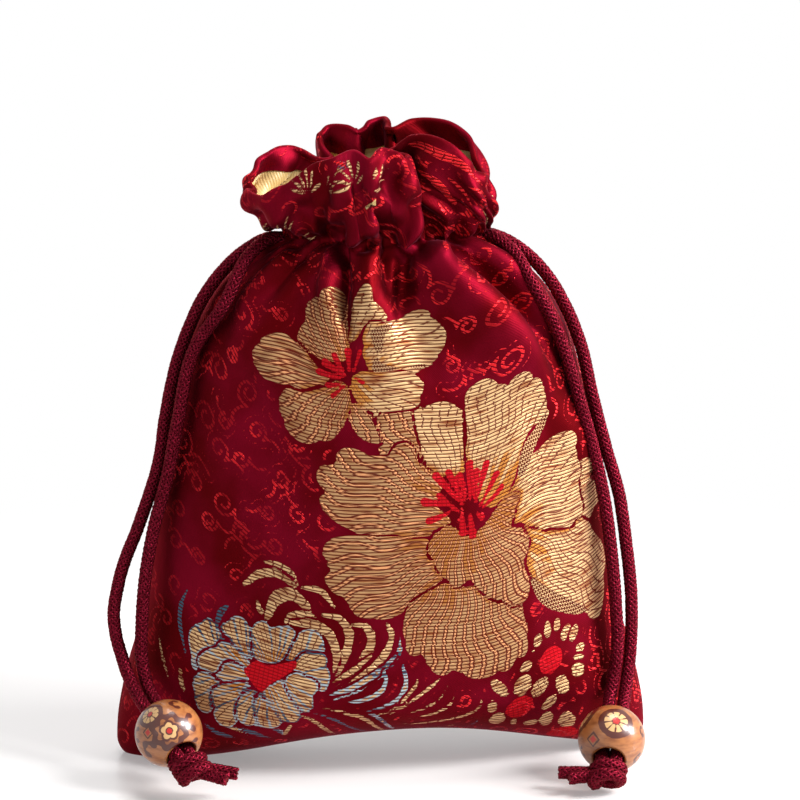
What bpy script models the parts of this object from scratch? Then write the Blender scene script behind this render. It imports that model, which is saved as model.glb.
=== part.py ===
"""A drawstring pouch of figured satin, filled out and standing on its base.

Metres, +Z up. The front faces -Y and the side seams lie in the plane y = 0, with
the left one at -X. The origin is on the ground under the middle of the base.

The cloth is one surface in three zones: the base curves in from the bottom seam,
the body rises to the drawn-in neck, and the frill opens above it. A point of cloth is
given by its turn, in degrees round the pouch from the front towards +X, and its rise:
0 at the bottom seam, 1 where the base ends, 2 at the neck and 3 at the mouth. Every
layer of cloth is that surface, set in by its own depth.
"""

import math

import bmesh
import bpy
import numpy as np
from mathutils import Vector

MM = 0.001

# Body of the pouch
BASE_WIDTH = 130.8 * MM
BELLY_DEPTH = 60.0 * MM
NECK_HEIGHT = 129.5 * MM
NECK_WIDTH = 41.0 * MM
NECK_DEPTH = 32.0 * MM
BASE_ROUNDING = 21.0 * MM
CORNER_ROUNDING = 9.0 * MM
BASE_ARCH = 7.0 * MM
ARCH_HALF_SPAN = 44.0 * MM
FLOOR_FLAT = 1.4 * MM
SECTION_PINCH = 1.2

# Frill above the neck
FRILL_SHIFT = -3.5 * MM
FRILL_SPRING = 0.62
FRILL_RUN = 22.0 * MM

# Cloth
CLOTH = 0.8 * MM
FACING_SHARE = 0.42
HEM_STEP = 0.03
HEM_CLEARANCE = 0.07
LINING = 0.4 * MM
GAP = 0.3 * MM

# Drawstrings, beads and knots
CORD = 3.2 * MM
CORD_GAP = 0.35 * MM
CASING_DROP = 1.7 * MM
CASING_LEVEL = NECK_HEIGHT - CASING_DROP
CASING_HALF = CORD + CORD_GAP / 2 + 1.2 * MM
EYELET = 12.4 * MM
BEAD_DIAMETER = 16.2 * MM
BEAD_EDGE = 0.9 * MM
KNOT_WIDTH = 10.6 * MM
KNOT_HEIGHT = 8.6 * MM
TAIL_LENGTH = 9.5 * MM

# Columns and rows of the cloth
COLUMNS = 28
BASE_ROWS = 4
BODY_HEIGHTS = (0.19, 0.26, 0.38, 0.51, 0.63, 0.74, 0.83, 0.90, 0.948, 0.978)
FRILL_RISES = (2.0, 2.12, 2.26, 2.42)
EYELET_TURN = 26.0
EYELET_FROM = 1.93
EYELET_TO = 2.12

# Side and depth outlines: share of the neck height, then how far the half width or
# half depth has grown from the neck's to the full one
SIDE_LINE = ((0.0, 1.0), (0.085, 0.989), (0.162, 0.943), (0.278, 0.848), (0.409, 0.793),
             (0.583, 0.733), (0.726, 0.628), (0.842, 0.518), (0.927, 0.344), (0.973, 0.165),
             (1.0, 0.0))
DEPTH_LINE = ((0.0, 0.72), (0.12, 0.9), (0.3, 1.0), (0.5, 0.98), (0.68, 0.88), (0.82, 0.7),
              (0.92, 0.42), (0.973, 0.17), (1.0, 0.0))

# Folds that run down from the neck: turn at the neck, turn where it dies out, share of
# the neck height there, depth at the neck, half angle. Valleys are negative.
FOLDS = (
    (-76.0, -72.0, 0.72, 1.0, 9.0), (-62.0, -58.0, 0.66, -1.6, 8.0),
    (-47.0, -43.0, 0.60, 1.1, 9.0), (-31.0, -24.0, 0.52, -2.4, 9.0),
    (-12.0, 2.0, 0.50, 1.4, 11.0), (8.0, 12.0, 0.60, -2.3, 7.5),
    (26.0, 50.0, 0.40, 2.0, 10.0), (44.0, 62.0, 0.58, -2.2, 8.0),
    (64.0, 74.0, 0.62, 1.3, 10.0), (103.0, 100.0, 0.66, -1.4, 8.0),
    (119.0, 112.0, 0.60, 1.2, 9.0), (135.0, 124.0, 0.52, -2.2, 9.0),
    (152.0, 146.0, 0.50, 1.6, 10.0), (170.0, 168.0, 0.56, -2.2, 8.0),
    (188.0, 192.0, 0.48, 1.6, 10.0), (206.0, 212.0, 0.56, -2.3, 8.0),
    (224.0, 234.0, 0.52, 1.4, 10.0), (242.0, 252.0, 0.62, -1.5, 8.0),
)

# The mouth's edge: turn at the neck, turn at the mouth, reach from the frill's middle,
# height. Far reaches are the frill's lobes and near ones the valleys between them.
MOUTH = (
    (-90.0, -90.0, 31.0, 136.0), (-74.0, -72.0, 28.5, 137.5), (-59.0, -58.0, 21.0, 140.0),
    (-46.0, -47.0, 12.5, 142.0), (-35.0, -42.0, 18.5, 144.5), (-20.0, -28.0, 24.0, 147.0),
    (-4.0, -6.0, 25.5, 148.0), (10.0, 14.0, 22.0, 148.0), (22.0, 25.0, 13.0, 147.0),
    (33.0, 33.0, 19.0, 149.0), (46.0, 46.0, 25.5, 148.0), (62.0, 63.0, 29.0, 143.5),
    (78.0, 79.0, 31.0, 137.0), (90.0, 90.0, 31.5, 136.0), (105.0, 107.0, 29.0, 144.0),
    (121.0, 126.0, 25.5, 152.0), (134.0, 141.0, 20.5, 153.5), (144.0, 147.0, 15.5, 153.0),
    (154.0, 152.0, 19.0, 153.5), (164.0, 164.0, 22.5, 154.0), (174.0, 177.0, 20.0, 153.0),
    (184.0, 184.0, 14.5, 151.5), (194.0, 191.0, 19.0, 152.0), (205.0, 205.0, 22.5, 152.0),
    (216.0, 219.0, 19.0, 149.5), (227.0, 227.0, 13.5, 147.0), (238.0, 234.0, 19.5, 148.0),
    (253.0, 250.0, 26.5, 145.0), (270.0, 270.0, 31.0, 136.0),
)

# Where each drawstring hangs outside the neck, from its eyelet to the straight run
# above its bead (mm): first the strand that lies further out, then the other
LEFT_OUTER = ((-20.4, 2.2, 127.5), (-27.0, -0.8, 128.4), (-33.6, -3.0, 125.2),
              (-40.3, -4.7, 118.6), (-47.9, -4.7, 103.4), (-52.2, -5.2, 86.0),
              (-53.8, -7.0, 76.0), (-58.4, -7.5, 61.5), (-63.8, -8.4, 47.0),
              (-65.4, -9.8, 37.0), (-63.6, -11.6, 28.0))
LEFT_INNER = ((-20.2, -1.9, 127.1), (-25.9, -3.6, 129.0), (-31.6, -8.4, 126.0),
              (-37.8, -11.7, 114.8), (-45.2, -8.9, 103.0), (-49.3, -10.3, 86.0),
              (-51.7, -10.7, 73.7), (-55.6, -10.8, 59.0), (-57.9, -11.6, 46.0),
              (-58.7, -12.6, 36.0), (-58.8, -13.0, 28.0))
RIGHT_OUTER = ((20.4, 2.2, 128.3), (26.8, -0.8, 128.6), (33.2, -3.0, 125.6),
               (38.3, -4.6, 120.9), (44.3, -4.3, 111.3), (48.0, -5.2, 101.8),
               (50.5, -5.4, 91.0), (54.4, -6.6, 76.0), (57.2, -8.2, 66.0),
               (58.8, -9.8, 55.0), (60.2, -11.8, 40.0), (60.0, -13.0, 28.0))
RIGHT_INNER = ((20.2, -2.1, 128.0), (25.4, -4.8, 129.2), (31.0, -9.2, 126.0),
               (35.0, -13.0, 119.2), (39.9, -12.6, 110.5), (43.8, -11.8, 100.5),
               (47.0, -11.4, 90.0), (50.5, -10.6, 78.0), (53.8, -10.2, 63.0),
               (55.2, -11.4, 52.0), (56.2, -13.0, 40.0), (56.6, -14.2, 28.0))

# Each bead's centre, and the way its bore points towards the knot
LEFT_BEAD = (-52.6, -27.6, 13.7)
LEFT_BORE = (0.43, -0.76, -0.49)
RIGHT_BEAD = (53.6, -28.6, 10.2)
RIGHT_BORE = (-0.20, -0.87, -0.45)
LEFT_TAILS = ((0.78, -0.30, -0.40), (0.62, -0.62, -0.42))
RIGHT_TAILS = ((-0.90, -0.38, -0.10), (-0.96, 0.02, -0.10))
STRAIGHT_RUN = 13.5 * MM
STRAND_SPACING = 8.4 * MM

CRIMSON = (0.30, 0.006, 0.022)
CREAM = (0.74, 0.56, 0.27)
BURGUNDY = (0.12, 0.010, 0.030)
WOOD = (0.62, 0.34, 0.12)


def smooth_line(rows, at):
    """A smooth curve through rows of (key, value, ...), read at the given keys."""
    rows = np.array(rows, float)
    keys, values = rows[:, 0], rows[:, 1:]
    slopes = np.gradient(values, keys, axis=0)
    at = np.clip(np.asarray(at, float), keys[0], keys[-1])
    i = np.clip(np.searchsorted(keys, at, side="right") - 1, 0, len(keys) - 2)
    step = (keys[i + 1] - keys[i])[..., None]
    u = ((at - keys[i])[..., None]) / step
    start, end = values[i], values[i + 1]
    rise_in, rise_out = slopes[i] * step, slopes[i + 1] * step
    cubic = 2 * (start - end) + rise_in + rise_out
    square = -3 * (start - end) - 2 * rise_in - rise_out
    return ((cubic * u + square) * u + rise_in) * u + start


def ease(x):
    """A smooth step from 0 to 1."""
    x = np.clip(x, 0.0, 1.0)
    return x * x * (3 - 2 * x)


def wrap(turn):
    """Turns brought into -90 to 270 degrees, so that both side seams are ends."""
    return np.where(turn > 270.0 + 1e-9, turn - 360.0, turn)


def half_sizes(height):
    """Half width and half depth of the pouch at a height up to the neck."""
    share = height / NECK_HEIGHT
    side = smooth_line(SIDE_LINE, share)[..., 0]
    deep = smooth_line(DEPTH_LINE, share)[..., 0]
    corner = np.clip(1 - height / CORNER_ROUNDING, 0.0, 1.0)
    width = (NECK_WIDTH + (BASE_WIDTH - NECK_WIDTH) * side) / 2
    depth = (NECK_DEPTH + (BELLY_DEPTH - NECK_DEPTH) * deep) / 2
    return width - CORNER_ROUNDING * (1 - np.sqrt(1 - corner ** 2)), depth


def fold_depth(turn, height):
    """How far the folds push the cloth out, or pull it in, at a turn and a height."""
    total = np.zeros(np.broadcast(turn, height).shape)
    for at_neck, at_end, end, depth, spread in FOLDS:
        grown = np.clip((height / NECK_HEIGHT - end) / (1 - end), 0.0, 1.0)
        centre = at_end + (at_neck - at_end) * grown
        total = total + depth * MM * ease(grown) * np.exp(-((turn - centre) / spread) ** 2)
    return total


def section(turn, height):
    """A point of the folded cloth at a turn and a height, seen from above."""
    width, depth = half_sizes(height)
    angle = np.radians(turn)
    gathered = ease((height / NECK_HEIGHT - 0.75) / 0.25)
    pinch = SECTION_PINCH + (1.0 - SECTION_PINCH) * gathered
    out = fold_depth(turn, height)
    cosine = np.cos(angle)
    x = (width + out) * np.sin(angle)
    y = -np.sign(cosine) * depth * np.abs(cosine) ** pinch - out * cosine
    return x, y


def surface(turn, rise):
    """The outer face of the pouch at a turn and a rise."""
    turn, rise = np.broadcast_arrays(np.asarray(turn, float), np.asarray(rise, float))
    turn = wrap(turn)

    sweep = np.clip(rise, 0.0, 1.0) * math.pi / 2
    above = BASE_ROUNDING + np.clip(rise - 1, 0.0, 1.0) * (NECK_HEIGHT - BASE_ROUNDING)
    inset = np.abs(np.sin(sweep)) ** (2 / 2.6)
    lift = 1 - np.abs(np.cos(sweep)) ** (2 / 2.6)
    across = half_sizes(BASE_ROUNDING * lift)[0] * np.sin(np.radians(turn))
    arch = BASE_ARCH * np.cos(np.clip(across / ARCH_HALF_SPAN, -1, 1) * math.pi / 2) ** 2
    low = arch - FLOOR_FLAT + (BASE_ROUNDING + FLOOR_FLAT - arch) * lift
    height = np.where(rise < 1, np.maximum(low, 0.0), above)
    x, y = section(turn, np.where(rise < 1, BASE_ROUNDING * lift, above))
    y = y * np.where(rise < 1, inset, 1.0)
    points = np.stack([x, y, height], axis=-1)

    frill = np.clip(rise - 2, 0.0, 1.0)
    mouth = smooth_line(MOUTH, turn)
    neck_x, neck_y = section(turn, np.full(turn.shape, NECK_HEIGHT))
    start = np.hypot(neck_x, neck_y)
    start_turn = np.degrees(np.arctan2(neck_x, -neck_y))
    start_turn = np.where(start_turn < -90.0 - 1e-6, start_turn + 360.0, start_turn)
    start_turn = np.where((turn > 180) & (start_turn < 0), start_turn + 360.0, start_turn)
    end_turn, reach, top = mouth[..., 0], mouth[..., 1] * MM, mouth[..., 2] * MM
    control = start + 0.12 * (reach - start)
    control_top = NECK_HEIGHT + FRILL_SPRING * (top - NECK_HEIGHT)
    rest = 1 - frill
    out = rest ** 2 * start + 2 * rest * frill * control + frill ** 2 * reach
    up = rest ** 2 * NECK_HEIGHT + 2 * rest * frill * control_top + frill ** 2 * top
    angle = np.radians(start_turn + (end_turn - start_turn) * ease(frill))
    shift = FRILL_SHIFT * ease(frill)
    ruffle = np.stack([shift + out * np.sin(angle), -out * np.cos(angle), up], axis=-1)
    return np.where((rise > 2)[..., None], ruffle, points)


def grid_normals(points, closed_base):
    """Unit normals of a grid of points, kept in the seam plane along the seams."""
    first = np.cross(points[:-1, 1:] - points[:-1, :-1], points[1:, 1:] - points[:-1, :-1])
    second = np.cross(points[1:, 1:] - points[:-1, :-1], points[1:, :-1] - points[:-1, :-1])
    normals = np.zeros_like(points)
    for facet, corners in ((first, ((0, 0), (0, 1), (1, 1))), (second, ((0, 0), (1, 1), (1, 0)))):
        for down, over in corners:
            rows = slice(down, points.shape[0] - 1 + down)
            columns = slice(over, points.shape[1] - 1 + over)
            normals[rows, columns] += facet
    normals[:, (0, -1), 1] = 0.0
    if closed_base:
        normals[0, :, 1] = 0.0
        normals[0, 0] = normals[0, 1]
        normals[0, -1] = normals[0, -2]
    length = np.linalg.norm(normals, axis=-1, keepdims=True)
    return normals / np.maximum(length, 1e-12)


def ring_axes(inset):
    """Half axes of an oval inside the neck, clear of its deepest fold by an inset."""
    deepest = min(fold[3] for fold in FOLDS) * MM
    return NECK_WIDTH / 2 + deepest - inset, NECK_DEPTH / 2 + deepest - inset


def line_of_ring(turn, run, depth):
    """The lining's place inside the cords, at a run of cloth above or below the neck."""
    wide, deep = ring_axes(CORD + GAP + depth)
    angle = np.radians(turn)
    level = CASING_LEVEL + run * 1.2
    return np.stack([wide * np.sin(angle), -deep * np.cos(angle), level], axis=-1)


def layer(turn, rise, points, normals, depth, round_cords):
    """Cloth set in from the surface; a lining passes inside the cords at the neck."""
    placed = points - normals * depth[..., None]
    if not round_cords:
        return placed
    body_run = np.clip(rise - 2, -1.0, 0.0) * (NECK_HEIGHT - BASE_ROUNDING)
    frill_run = np.clip(rise - 2, 0.0, 1.0) * FRILL_RUN
    run = body_run + frill_run + NECK_HEIGHT - CASING_LEVEL
    held = 1 - ease((np.abs(run) - CASING_HALF) / (CASING_HALF * 1.1))
    ring = line_of_ring(turn, run, depth)
    return placed + (ring - placed) * held[..., None]


def side_turns(front):
    """The turns of a panel's columns, seam to seam, closer together near the seams."""
    spread = np.linspace(-90.0, 90.0, COLUMNS + 1)
    return spread if front else spread + 180.0


def sewn_sheet(name, front, rises, depths, skip, round_cords=False):
    """A closed sheet between an outer and an inner depth, row by row."""
    turns = side_turns(front)
    rows, columns = np.meshgrid(rises, turns, indexing="ij")
    shape = surface(columns, rows)
    normals = grid_normals(shape, rises[0] == 0.0)
    mesh = bmesh.new()
    faces = []
    for outer in (True, False):
        depth = np.repeat(np.array([pair[0 if outer else 1] for pair in depths])[:, None],
                          len(turns), axis=1)
        points = layer(columns, rows, shape, normals, depth, round_cords)
        points[:, 0, 1] = 0.0
        points[:, -1, 1] = 0.0
        if rises[0] == 0.0:
            points[0, :, 1] = 0.0
        faces.append([[mesh.verts.new(point) for point in row] for row in points])
    outer_grid, inner_grid = faces
    used = {}
    for i in range(len(rises) - 1):
        for j in range(len(turns) - 1):
            if skip(0.5 * (rises[i] + rises[i + 1]), 0.5 * (turns[j] + turns[j + 1])):
                continue
            corners = ((i, j), (i, j + 1), (i + 1, j + 1), (i + 1, j))
            for half in ((0, 1, 2), (0, 2, 3)):
                mesh.faces.new([outer_grid[corners[k][0]][corners[k][1]] for k in half])
                mesh.faces.new([inner_grid[corners[k][0]][corners[k][1]] for k in half[::-1]])
            for start, end in zip(corners, corners[1:] + corners[:1]):
                used[(start, end)] = True
    for start, end in [pair for pair in used if (pair[1], pair[0]) not in used]:
        mesh.faces.new([outer_grid[end[0]][end[1]], outer_grid[start[0]][start[1]],
                        inner_grid[start[0]][start[1]], inner_grid[end[0]][end[1]]])
    loose = [vert for vert in mesh.verts if not vert.link_faces]
    bmesh.ops.delete(mesh, geom=loose, context="VERTS")
    return finish_mesh(name, mesh)


def finish_mesh(name, mesh):
    """A named object from a closed bmesh, its faces turned outwards."""
    bmesh.ops.recalc_face_normals(mesh, faces=mesh.faces)
    data = bpy.data.meshes.new(name)
    mesh.to_mesh(data)
    mesh.free()
    data.shade_smooth()
    thing = bpy.data.objects.new(name, data)
    POUCH.objects.link(thing)
    return thing


def cloth_rises():
    """The rises of the outer cloth's rows, from the bottom seam to the mouth."""
    facing_edge = 3.0 - FACING_SHARE
    base = [row / BASE_ROWS for row in range(BASE_ROWS + 1)]
    neck_share = BASE_ROUNDING / NECK_HEIGHT
    body = [1 + (share - neck_share) / (1 - neck_share) for share in BODY_HEIGHTS]
    top = [facing_edge - HEM_STEP, facing_edge, 2.72, 2.85, 2.95, 3.0]
    return base + body + list(FRILL_RISES) + top


def eyelet_gap(rise, turn):
    """Whether a patch of cloth falls in a side opening that lets a drawstring out."""
    reach = EYELET / 2 / (NECK_WIDTH / 2)
    from_seam = abs(math.cos(math.radians(turn)))
    return from_seam < reach and EYELET_FROM < rise < EYELET_TO


def make_panel(name, front):
    """One panel of figured cloth with its edge turned in as a facing at the mouth."""
    rises = cloth_rises()
    facing_edge = 3.0 - FACING_SHARE
    full = CLOTH + GAP + LINING
    depths = [(0.0, CLOTH if rise < facing_edge - 1e-6 else full) for rise in rises]
    depths[-1] = (0.25 * full, 0.75 * full)
    return sewn_sheet(name, front, rises, depths, eyelet_gap)


def make_lining(name, front):
    """One panel of lining, from the bottom seam to the lower edge of the facing."""
    facing_edge = 3.0 - FACING_SHARE
    rises = [rise for rise in cloth_rises() if rise < facing_edge - HEM_CLEARANCE]
    rises.append(facing_edge - HEM_CLEARANCE)
    depth = CLOTH + GAP
    depths = [(depth, depth + LINING)] * len(rises)
    return sewn_sheet(name, front, rises, depths, lambda rise, turn: False, True)


def unit(direction):
    """A direction as a unit vector."""
    return Vector(direction).normalized()


def across_bore(bore):
    """The level direction across a bore, in which the two strands lie side by side."""
    return unit(bore).cross(Vector((0.0, 0.0, 1.0))).normalized()


def bead_half_length():
    """Half of the bead's length along its bore, between its rounded rims."""
    bore = bore_radius()
    return math.sqrt((BEAD_DIAMETER / 2) ** 2 - (bore + BEAD_EDGE) ** 2)


def bore_radius():
    """The bore that lets both strands through side by side."""
    return CORD + CORD_GAP / 2 + GAP


def strand_spacing():
    """How far each strand's middle lies from the bore's axis."""
    return (CORD + CORD_GAP) / 2


def casing_loop(level, first, turns_back):
    """Points of a drawstring round the inside of the neck, from eyelet to eyelet."""
    wide, deep = ring_axes(CLOTH + GAP + CORD / 2)
    count = 26
    points = []
    for step in range(count + 1):
        angle = first + (360.0 - 2 * turns_back) * step / count
        turned = math.radians(angle)
        points.append(Vector((wide * math.sin(turned), -deep * math.cos(turned), level)))
    return points


def strand_end(bead, bore, side):
    """The last points of a strand: its straight run through the bead to the knot."""
    middle = Vector(bead) * MM
    aim = unit(bore)
    offset = across_bore(bore) * strand_spacing() * side
    reach = bead_half_length() + 0.1 * MM
    stops = (-STRAIGHT_RUN, -STRAIGHT_RUN * 0.72, -STRAIGHT_RUN * 0.4, 0.0, reach)
    return [middle + offset + aim * stop for stop in stops]


def smooth_route(points, spacing):
    """Points at about one spacing along a smooth curve through the given points."""
    points = [Vector(point) for point in points]
    lengths = [0.0]
    for start, end in zip(points, points[1:]):
        lengths.append(lengths[-1] + (end - start).length)
    rows = [(length, *point) for length, point in zip(lengths, points)]
    count = max(2, round(lengths[-1] / spacing))
    read = np.linspace(0.0, lengths[-1], count + 1)
    return [Vector(row) for row in smooth_line(rows, read)]


def make_drawstring(name, level, outer, inner, bead, bore, left):
    """One drawstring: down to its knot at both ends and once round the neck."""
    first = (-90.0 if left else 90.0) + EYELET_TURN
    loop = casing_loop(level, first, EYELET_TURN)
    outer_first = [Vector(point) * MM for point in outer]
    inner_first = [Vector(point) * MM for point in inner]
    front_start, back_start = loop[0], loop[-1]
    sides = (1.0, -1.0) if left else (-1.0, 1.0)
    if not left:
        front_start, back_start = loop[-1], loop[0]
        loop = list(reversed(loop))
    outer_path = smooth_route([back_start] + outer_first + strand_end(bead, bore, sides[0]),
                              STRAND_SPACING)
    inner_path = smooth_route([front_start] + inner_first + strand_end(bead, bore, -sides[0]),
                              STRAND_SPACING)
    path = list(reversed(inner_path)) + loop[1:-1] + outer_path
    return make_tube(name, path, CORD)


def make_tube(name, path, diameter):
    """A round cord along a list of points, with closed ends."""
    curve = bpy.data.curves.new(name, "CURVE")
    curve.dimensions = "3D"
    curve.bevel_depth = diameter / 2
    curve.bevel_resolution = 2
    curve.use_fill_caps = True
    spline = curve.splines.new("POLY")
    spline.points.add(len(path) - 1)
    for point, place in zip(spline.points, path):
        point.co = (*place, 1.0)
    spline.use_smooth = True
    thing = bpy.data.objects.new(name, curve)
    POUCH.objects.link(thing)
    return thing


def aim_object(thing, place, direction):
    """Put an object at a place with its own +Z along a direction."""
    thing.location = Vector(place)
    thing.rotation_mode = "QUATERNION"
    thing.rotation_quaternion = unit(direction).to_track_quat("Z", "Y")


def make_bead(name, bead, bore):
    """A round turned bead with a bore for both strands and softened rims."""
    radius, hole, half = BEAD_DIAMETER / 2, bore_radius(), bead_half_length()
    outline = []
    widest = math.asin(half / radius)
    for step in range(9):
        angle = widest - 2 * widest * step / 8
        outline.append((radius * math.cos(angle), radius * math.sin(angle)))
    outline.append((hole + BEAD_EDGE * 0.3, -half - BEAD_EDGE * 0.25))
    outline.append((hole, -half + BEAD_EDGE * 0.6))
    outline.append((hole, half - BEAD_EDGE * 0.6))
    outline.append((hole + BEAD_EDGE * 0.3, half + BEAD_EDGE * 0.25))
    data = bpy.data.meshes.new(name)
    edges = [(i, (i + 1) % len(outline)) for i in range(len(outline))]
    data.from_pydata([(x, 0.0, z) for x, z in outline], edges, [])
    thing = bpy.data.objects.new(name, data)
    POUCH.objects.link(thing)
    screw = thing.modifiers.new("turned", "SCREW")
    screw.axis = "Z"
    screw.angle = 2 * math.pi
    screw.steps = 22
    screw.render_steps = 22
    screw.use_merge_vertices = True
    screw.merge_threshold = 0.00001
    screw.use_smooth_shade = True
    aim_object(thing, Vector(bead) * MM, bore)
    return thing


def lump_object(name, place, direction, size):
    """A rounded turn of cord as an object of its own."""
    turned = unit(direction).to_track_quat("Z", "Y").to_matrix().to_4x4()
    turned.translation = Vector(place)
    mesh = bmesh.new()
    made = bmesh.ops.create_uvsphere(mesh, u_segments=14, v_segments=8, radius=0.5)
    bmesh.ops.scale(mesh, vec=Vector(size), verts=made["verts"])
    bmesh.ops.transform(mesh, matrix=turned, verts=made["verts"])
    return finish_mesh(name, mesh)


def tail_object(name, place, direction):
    """A short cord end with a slightly swollen sealed tip."""
    mesh = bmesh.new()
    turned = unit(direction).to_track_quat("Z", "Y").to_matrix().to_4x4()
    turned.translation = Vector(place) + unit(direction) * TAIL_LENGTH / 2
    bmesh.ops.create_cone(mesh, cap_ends=True, segments=10, radius1=CORD / 2,
                          radius2=CORD / 2 * 1.12, depth=TAIL_LENGTH, matrix=turned)
    return finish_mesh(name, mesh)


def join_solids(keep, others):
    """Unite solids into one closed body."""
    for other in others:
        union = keep.modifiers.new("union", "BOOLEAN")
        union.operation = "UNION"
        union.object = other
    graph = bpy.context.evaluated_depsgraph_get()
    graph.update()
    joined = bpy.data.meshes.new_from_object(keep.evaluated_get(graph))
    keep.modifiers.clear()
    keep.data = joined
    for other in others:
        bpy.data.objects.remove(other)


def make_knot(name, bead, bore, tails):
    """The overhand knot in both strands under a bead, with its two short tails."""
    aim = unit(bore)
    side = across_bore(bore)
    face = Vector(bead) * MM + aim * (bead_half_length() + BEAD_EDGE * 0.25 + GAP)
    centre = face + aim * KNOT_HEIGHT / 2
    knot = lump_object(name, centre, aim, (KNOT_WIDTH, KNOT_WIDTH * 0.82, KNOT_HEIGHT))
    low = centre + aim * KNOT_HEIGHT * 0.16
    shoulder = lump_object(name + "_shoulder", low - side * KNOT_WIDTH * 0.16, side - aim * 0.5,
                           (KNOT_HEIGHT * 0.62, KNOT_WIDTH * 0.80, KNOT_WIDTH * 0.86))
    ends = []
    for index, tail in enumerate(tails):
        root = centre + unit(tail) * KNOT_HEIGHT * 0.24
        root = root + side * (index - 0.5) * CORD * 0.5
        ends.append(tail_object(name + "_tail", root, tail))
    join_solids(knot, [shoulder] + ends)
    knot.data.shade_smooth()
    return knot


def make_material(name, colour, roughness):
    """A plain finish for one kind of piece."""
    material = bpy.data.materials.new(name)
    material.use_nodes = True
    shader = material.node_tree.nodes["Principled BSDF"]
    shader.inputs["Base Color"].default_value = (*colour, 1.0)
    shader.inputs["Roughness"].default_value = roughness
    shader.inputs["Metallic"].default_value = 0.0
    material.diffuse_color = (*colour, 1.0)
    return material


def dress(things, material):
    """Give each object its material."""
    for thing in things:
        thing.data.materials.clear()
        thing.data.materials.append(material)


for leftover in list(bpy.data.objects):
    bpy.data.objects.remove(leftover)

POUCH = bpy.data.collections.new("drawstring_pouch")
bpy.context.scene.collection.children.link(POUCH)

panels = [make_panel("front_panel", True), make_panel("back_panel", False)]
linings = [make_lining("lining_front", True), make_lining("lining_back", False)]
loop_rise = (CORD + CORD_GAP) / 2
cords = [
    make_drawstring("drawstring_left", CASING_LEVEL - loop_rise, LEFT_OUTER, LEFT_INNER,
                    LEFT_BEAD, LEFT_BORE, True),
    make_drawstring("drawstring_right", CASING_LEVEL + loop_rise, RIGHT_OUTER, RIGHT_INNER,
                    RIGHT_BEAD, RIGHT_BORE, False),
]
beads = [make_bead("bead_left", LEFT_BEAD, LEFT_BORE),
         make_bead("bead_right", RIGHT_BEAD, RIGHT_BORE)]
knots = [make_knot("knot_left", LEFT_BEAD, LEFT_BORE, LEFT_TAILS),
         make_knot("knot_right", RIGHT_BEAD, RIGHT_BORE, RIGHT_TAILS)]

dress(panels, make_material("crimson_brocade", CRIMSON, 0.42))
dress(linings, make_material("cream_satin", CREAM, 0.5))
dress(cords + knots, make_material("burgundy_cord", BURGUNDY, 0.45))
dress(beads, make_material("varnished_wood", WOOD, 0.25))
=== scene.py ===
"""Dressed model of a lined drawstring pouch: brocade, satin lining, braided cords, beads.

Row frame, metres, +Z up, front towards -Y. Sizes inside the classes are millimetres and
become metres when a mesh is made. A point of cloth is given by its turn, in degrees round
the pouch from the front towards +X, and its rise: 0 at the bottom seam, 1 where the base
ends, 2 at the neck and 3 at the mouth.
"""
import logging
import math
from dataclasses import dataclass
from enum import Enum

import bmesh
import bpy
import numpy as np
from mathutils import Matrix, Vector


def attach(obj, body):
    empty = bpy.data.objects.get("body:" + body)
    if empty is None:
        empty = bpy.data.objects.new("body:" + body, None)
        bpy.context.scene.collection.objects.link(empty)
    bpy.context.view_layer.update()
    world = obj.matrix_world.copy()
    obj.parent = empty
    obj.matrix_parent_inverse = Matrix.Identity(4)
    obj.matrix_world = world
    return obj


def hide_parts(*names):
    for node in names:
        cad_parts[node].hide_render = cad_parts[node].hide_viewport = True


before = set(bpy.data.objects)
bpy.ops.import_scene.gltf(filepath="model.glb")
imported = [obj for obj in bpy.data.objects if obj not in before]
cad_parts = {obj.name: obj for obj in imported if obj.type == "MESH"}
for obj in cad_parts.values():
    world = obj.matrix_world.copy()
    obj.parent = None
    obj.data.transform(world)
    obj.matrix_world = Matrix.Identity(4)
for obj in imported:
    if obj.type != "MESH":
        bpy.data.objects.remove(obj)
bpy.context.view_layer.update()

LOG = logging.getLogger("pouch")
MM = 0.001
ROOT = "pouch"
Array = np.ndarray
Thing = bpy.types.Object
Material = bpy.types.Material
Node = bpy.types.Node
Socket = bpy.types.NodeSocket
Tree = bpy.types.NodeTree
Rows = tuple[tuple[float, ...], ...]
Colour = tuple[float, float, float]
PICTURE_SCALE = 4.125  # pixels of the picture in a millimetre at the object


# Curves and numbers


def smooth_line(rows: Rows, at: Array) -> Array:
    """Read a smooth curve through rows of (key, value, ...).

    Args:
        rows: Keys in rising order, each with its values.
        at: The keys to read at.

    Returns:
        The values at those keys, in one more dimension than the keys.
    """
    table = np.array(rows, float)
    keys, values = table[:, 0], table[:, 1:]
    slopes = np.gradient(values, keys, axis=0)
    at = np.clip(np.asarray(at, float), keys[0], keys[-1])
    i = np.clip(np.searchsorted(keys, at, side="right") - 1, 0, len(keys) - 2)
    step = (keys[i + 1] - keys[i])[..., None]
    u = ((at - keys[i])[..., None]) / step
    start, end = values[i], values[i + 1]
    rise_in, rise_out = slopes[i] * step, slopes[i + 1] * step
    cubic = 2 * (start - end) + rise_in + rise_out
    square = -3 * (start - end) - 2 * rise_in - rise_out
    return ((cubic * u + square) * u + rise_in) * u + start


def through(line: Rows, count: int) -> Array:
    """A number of points on a smooth line through listed ones."""
    return smooth_line(tuple((k, *point) for k, point in enumerate(line)),
                       np.linspace(0, len(line) - 1, count))


def ease(x: Array) -> Array:
    """A smooth step from 0 to 1."""
    x = np.clip(x, 0.0, 1.0)
    return x * x * (3 - 2 * x)


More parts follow.
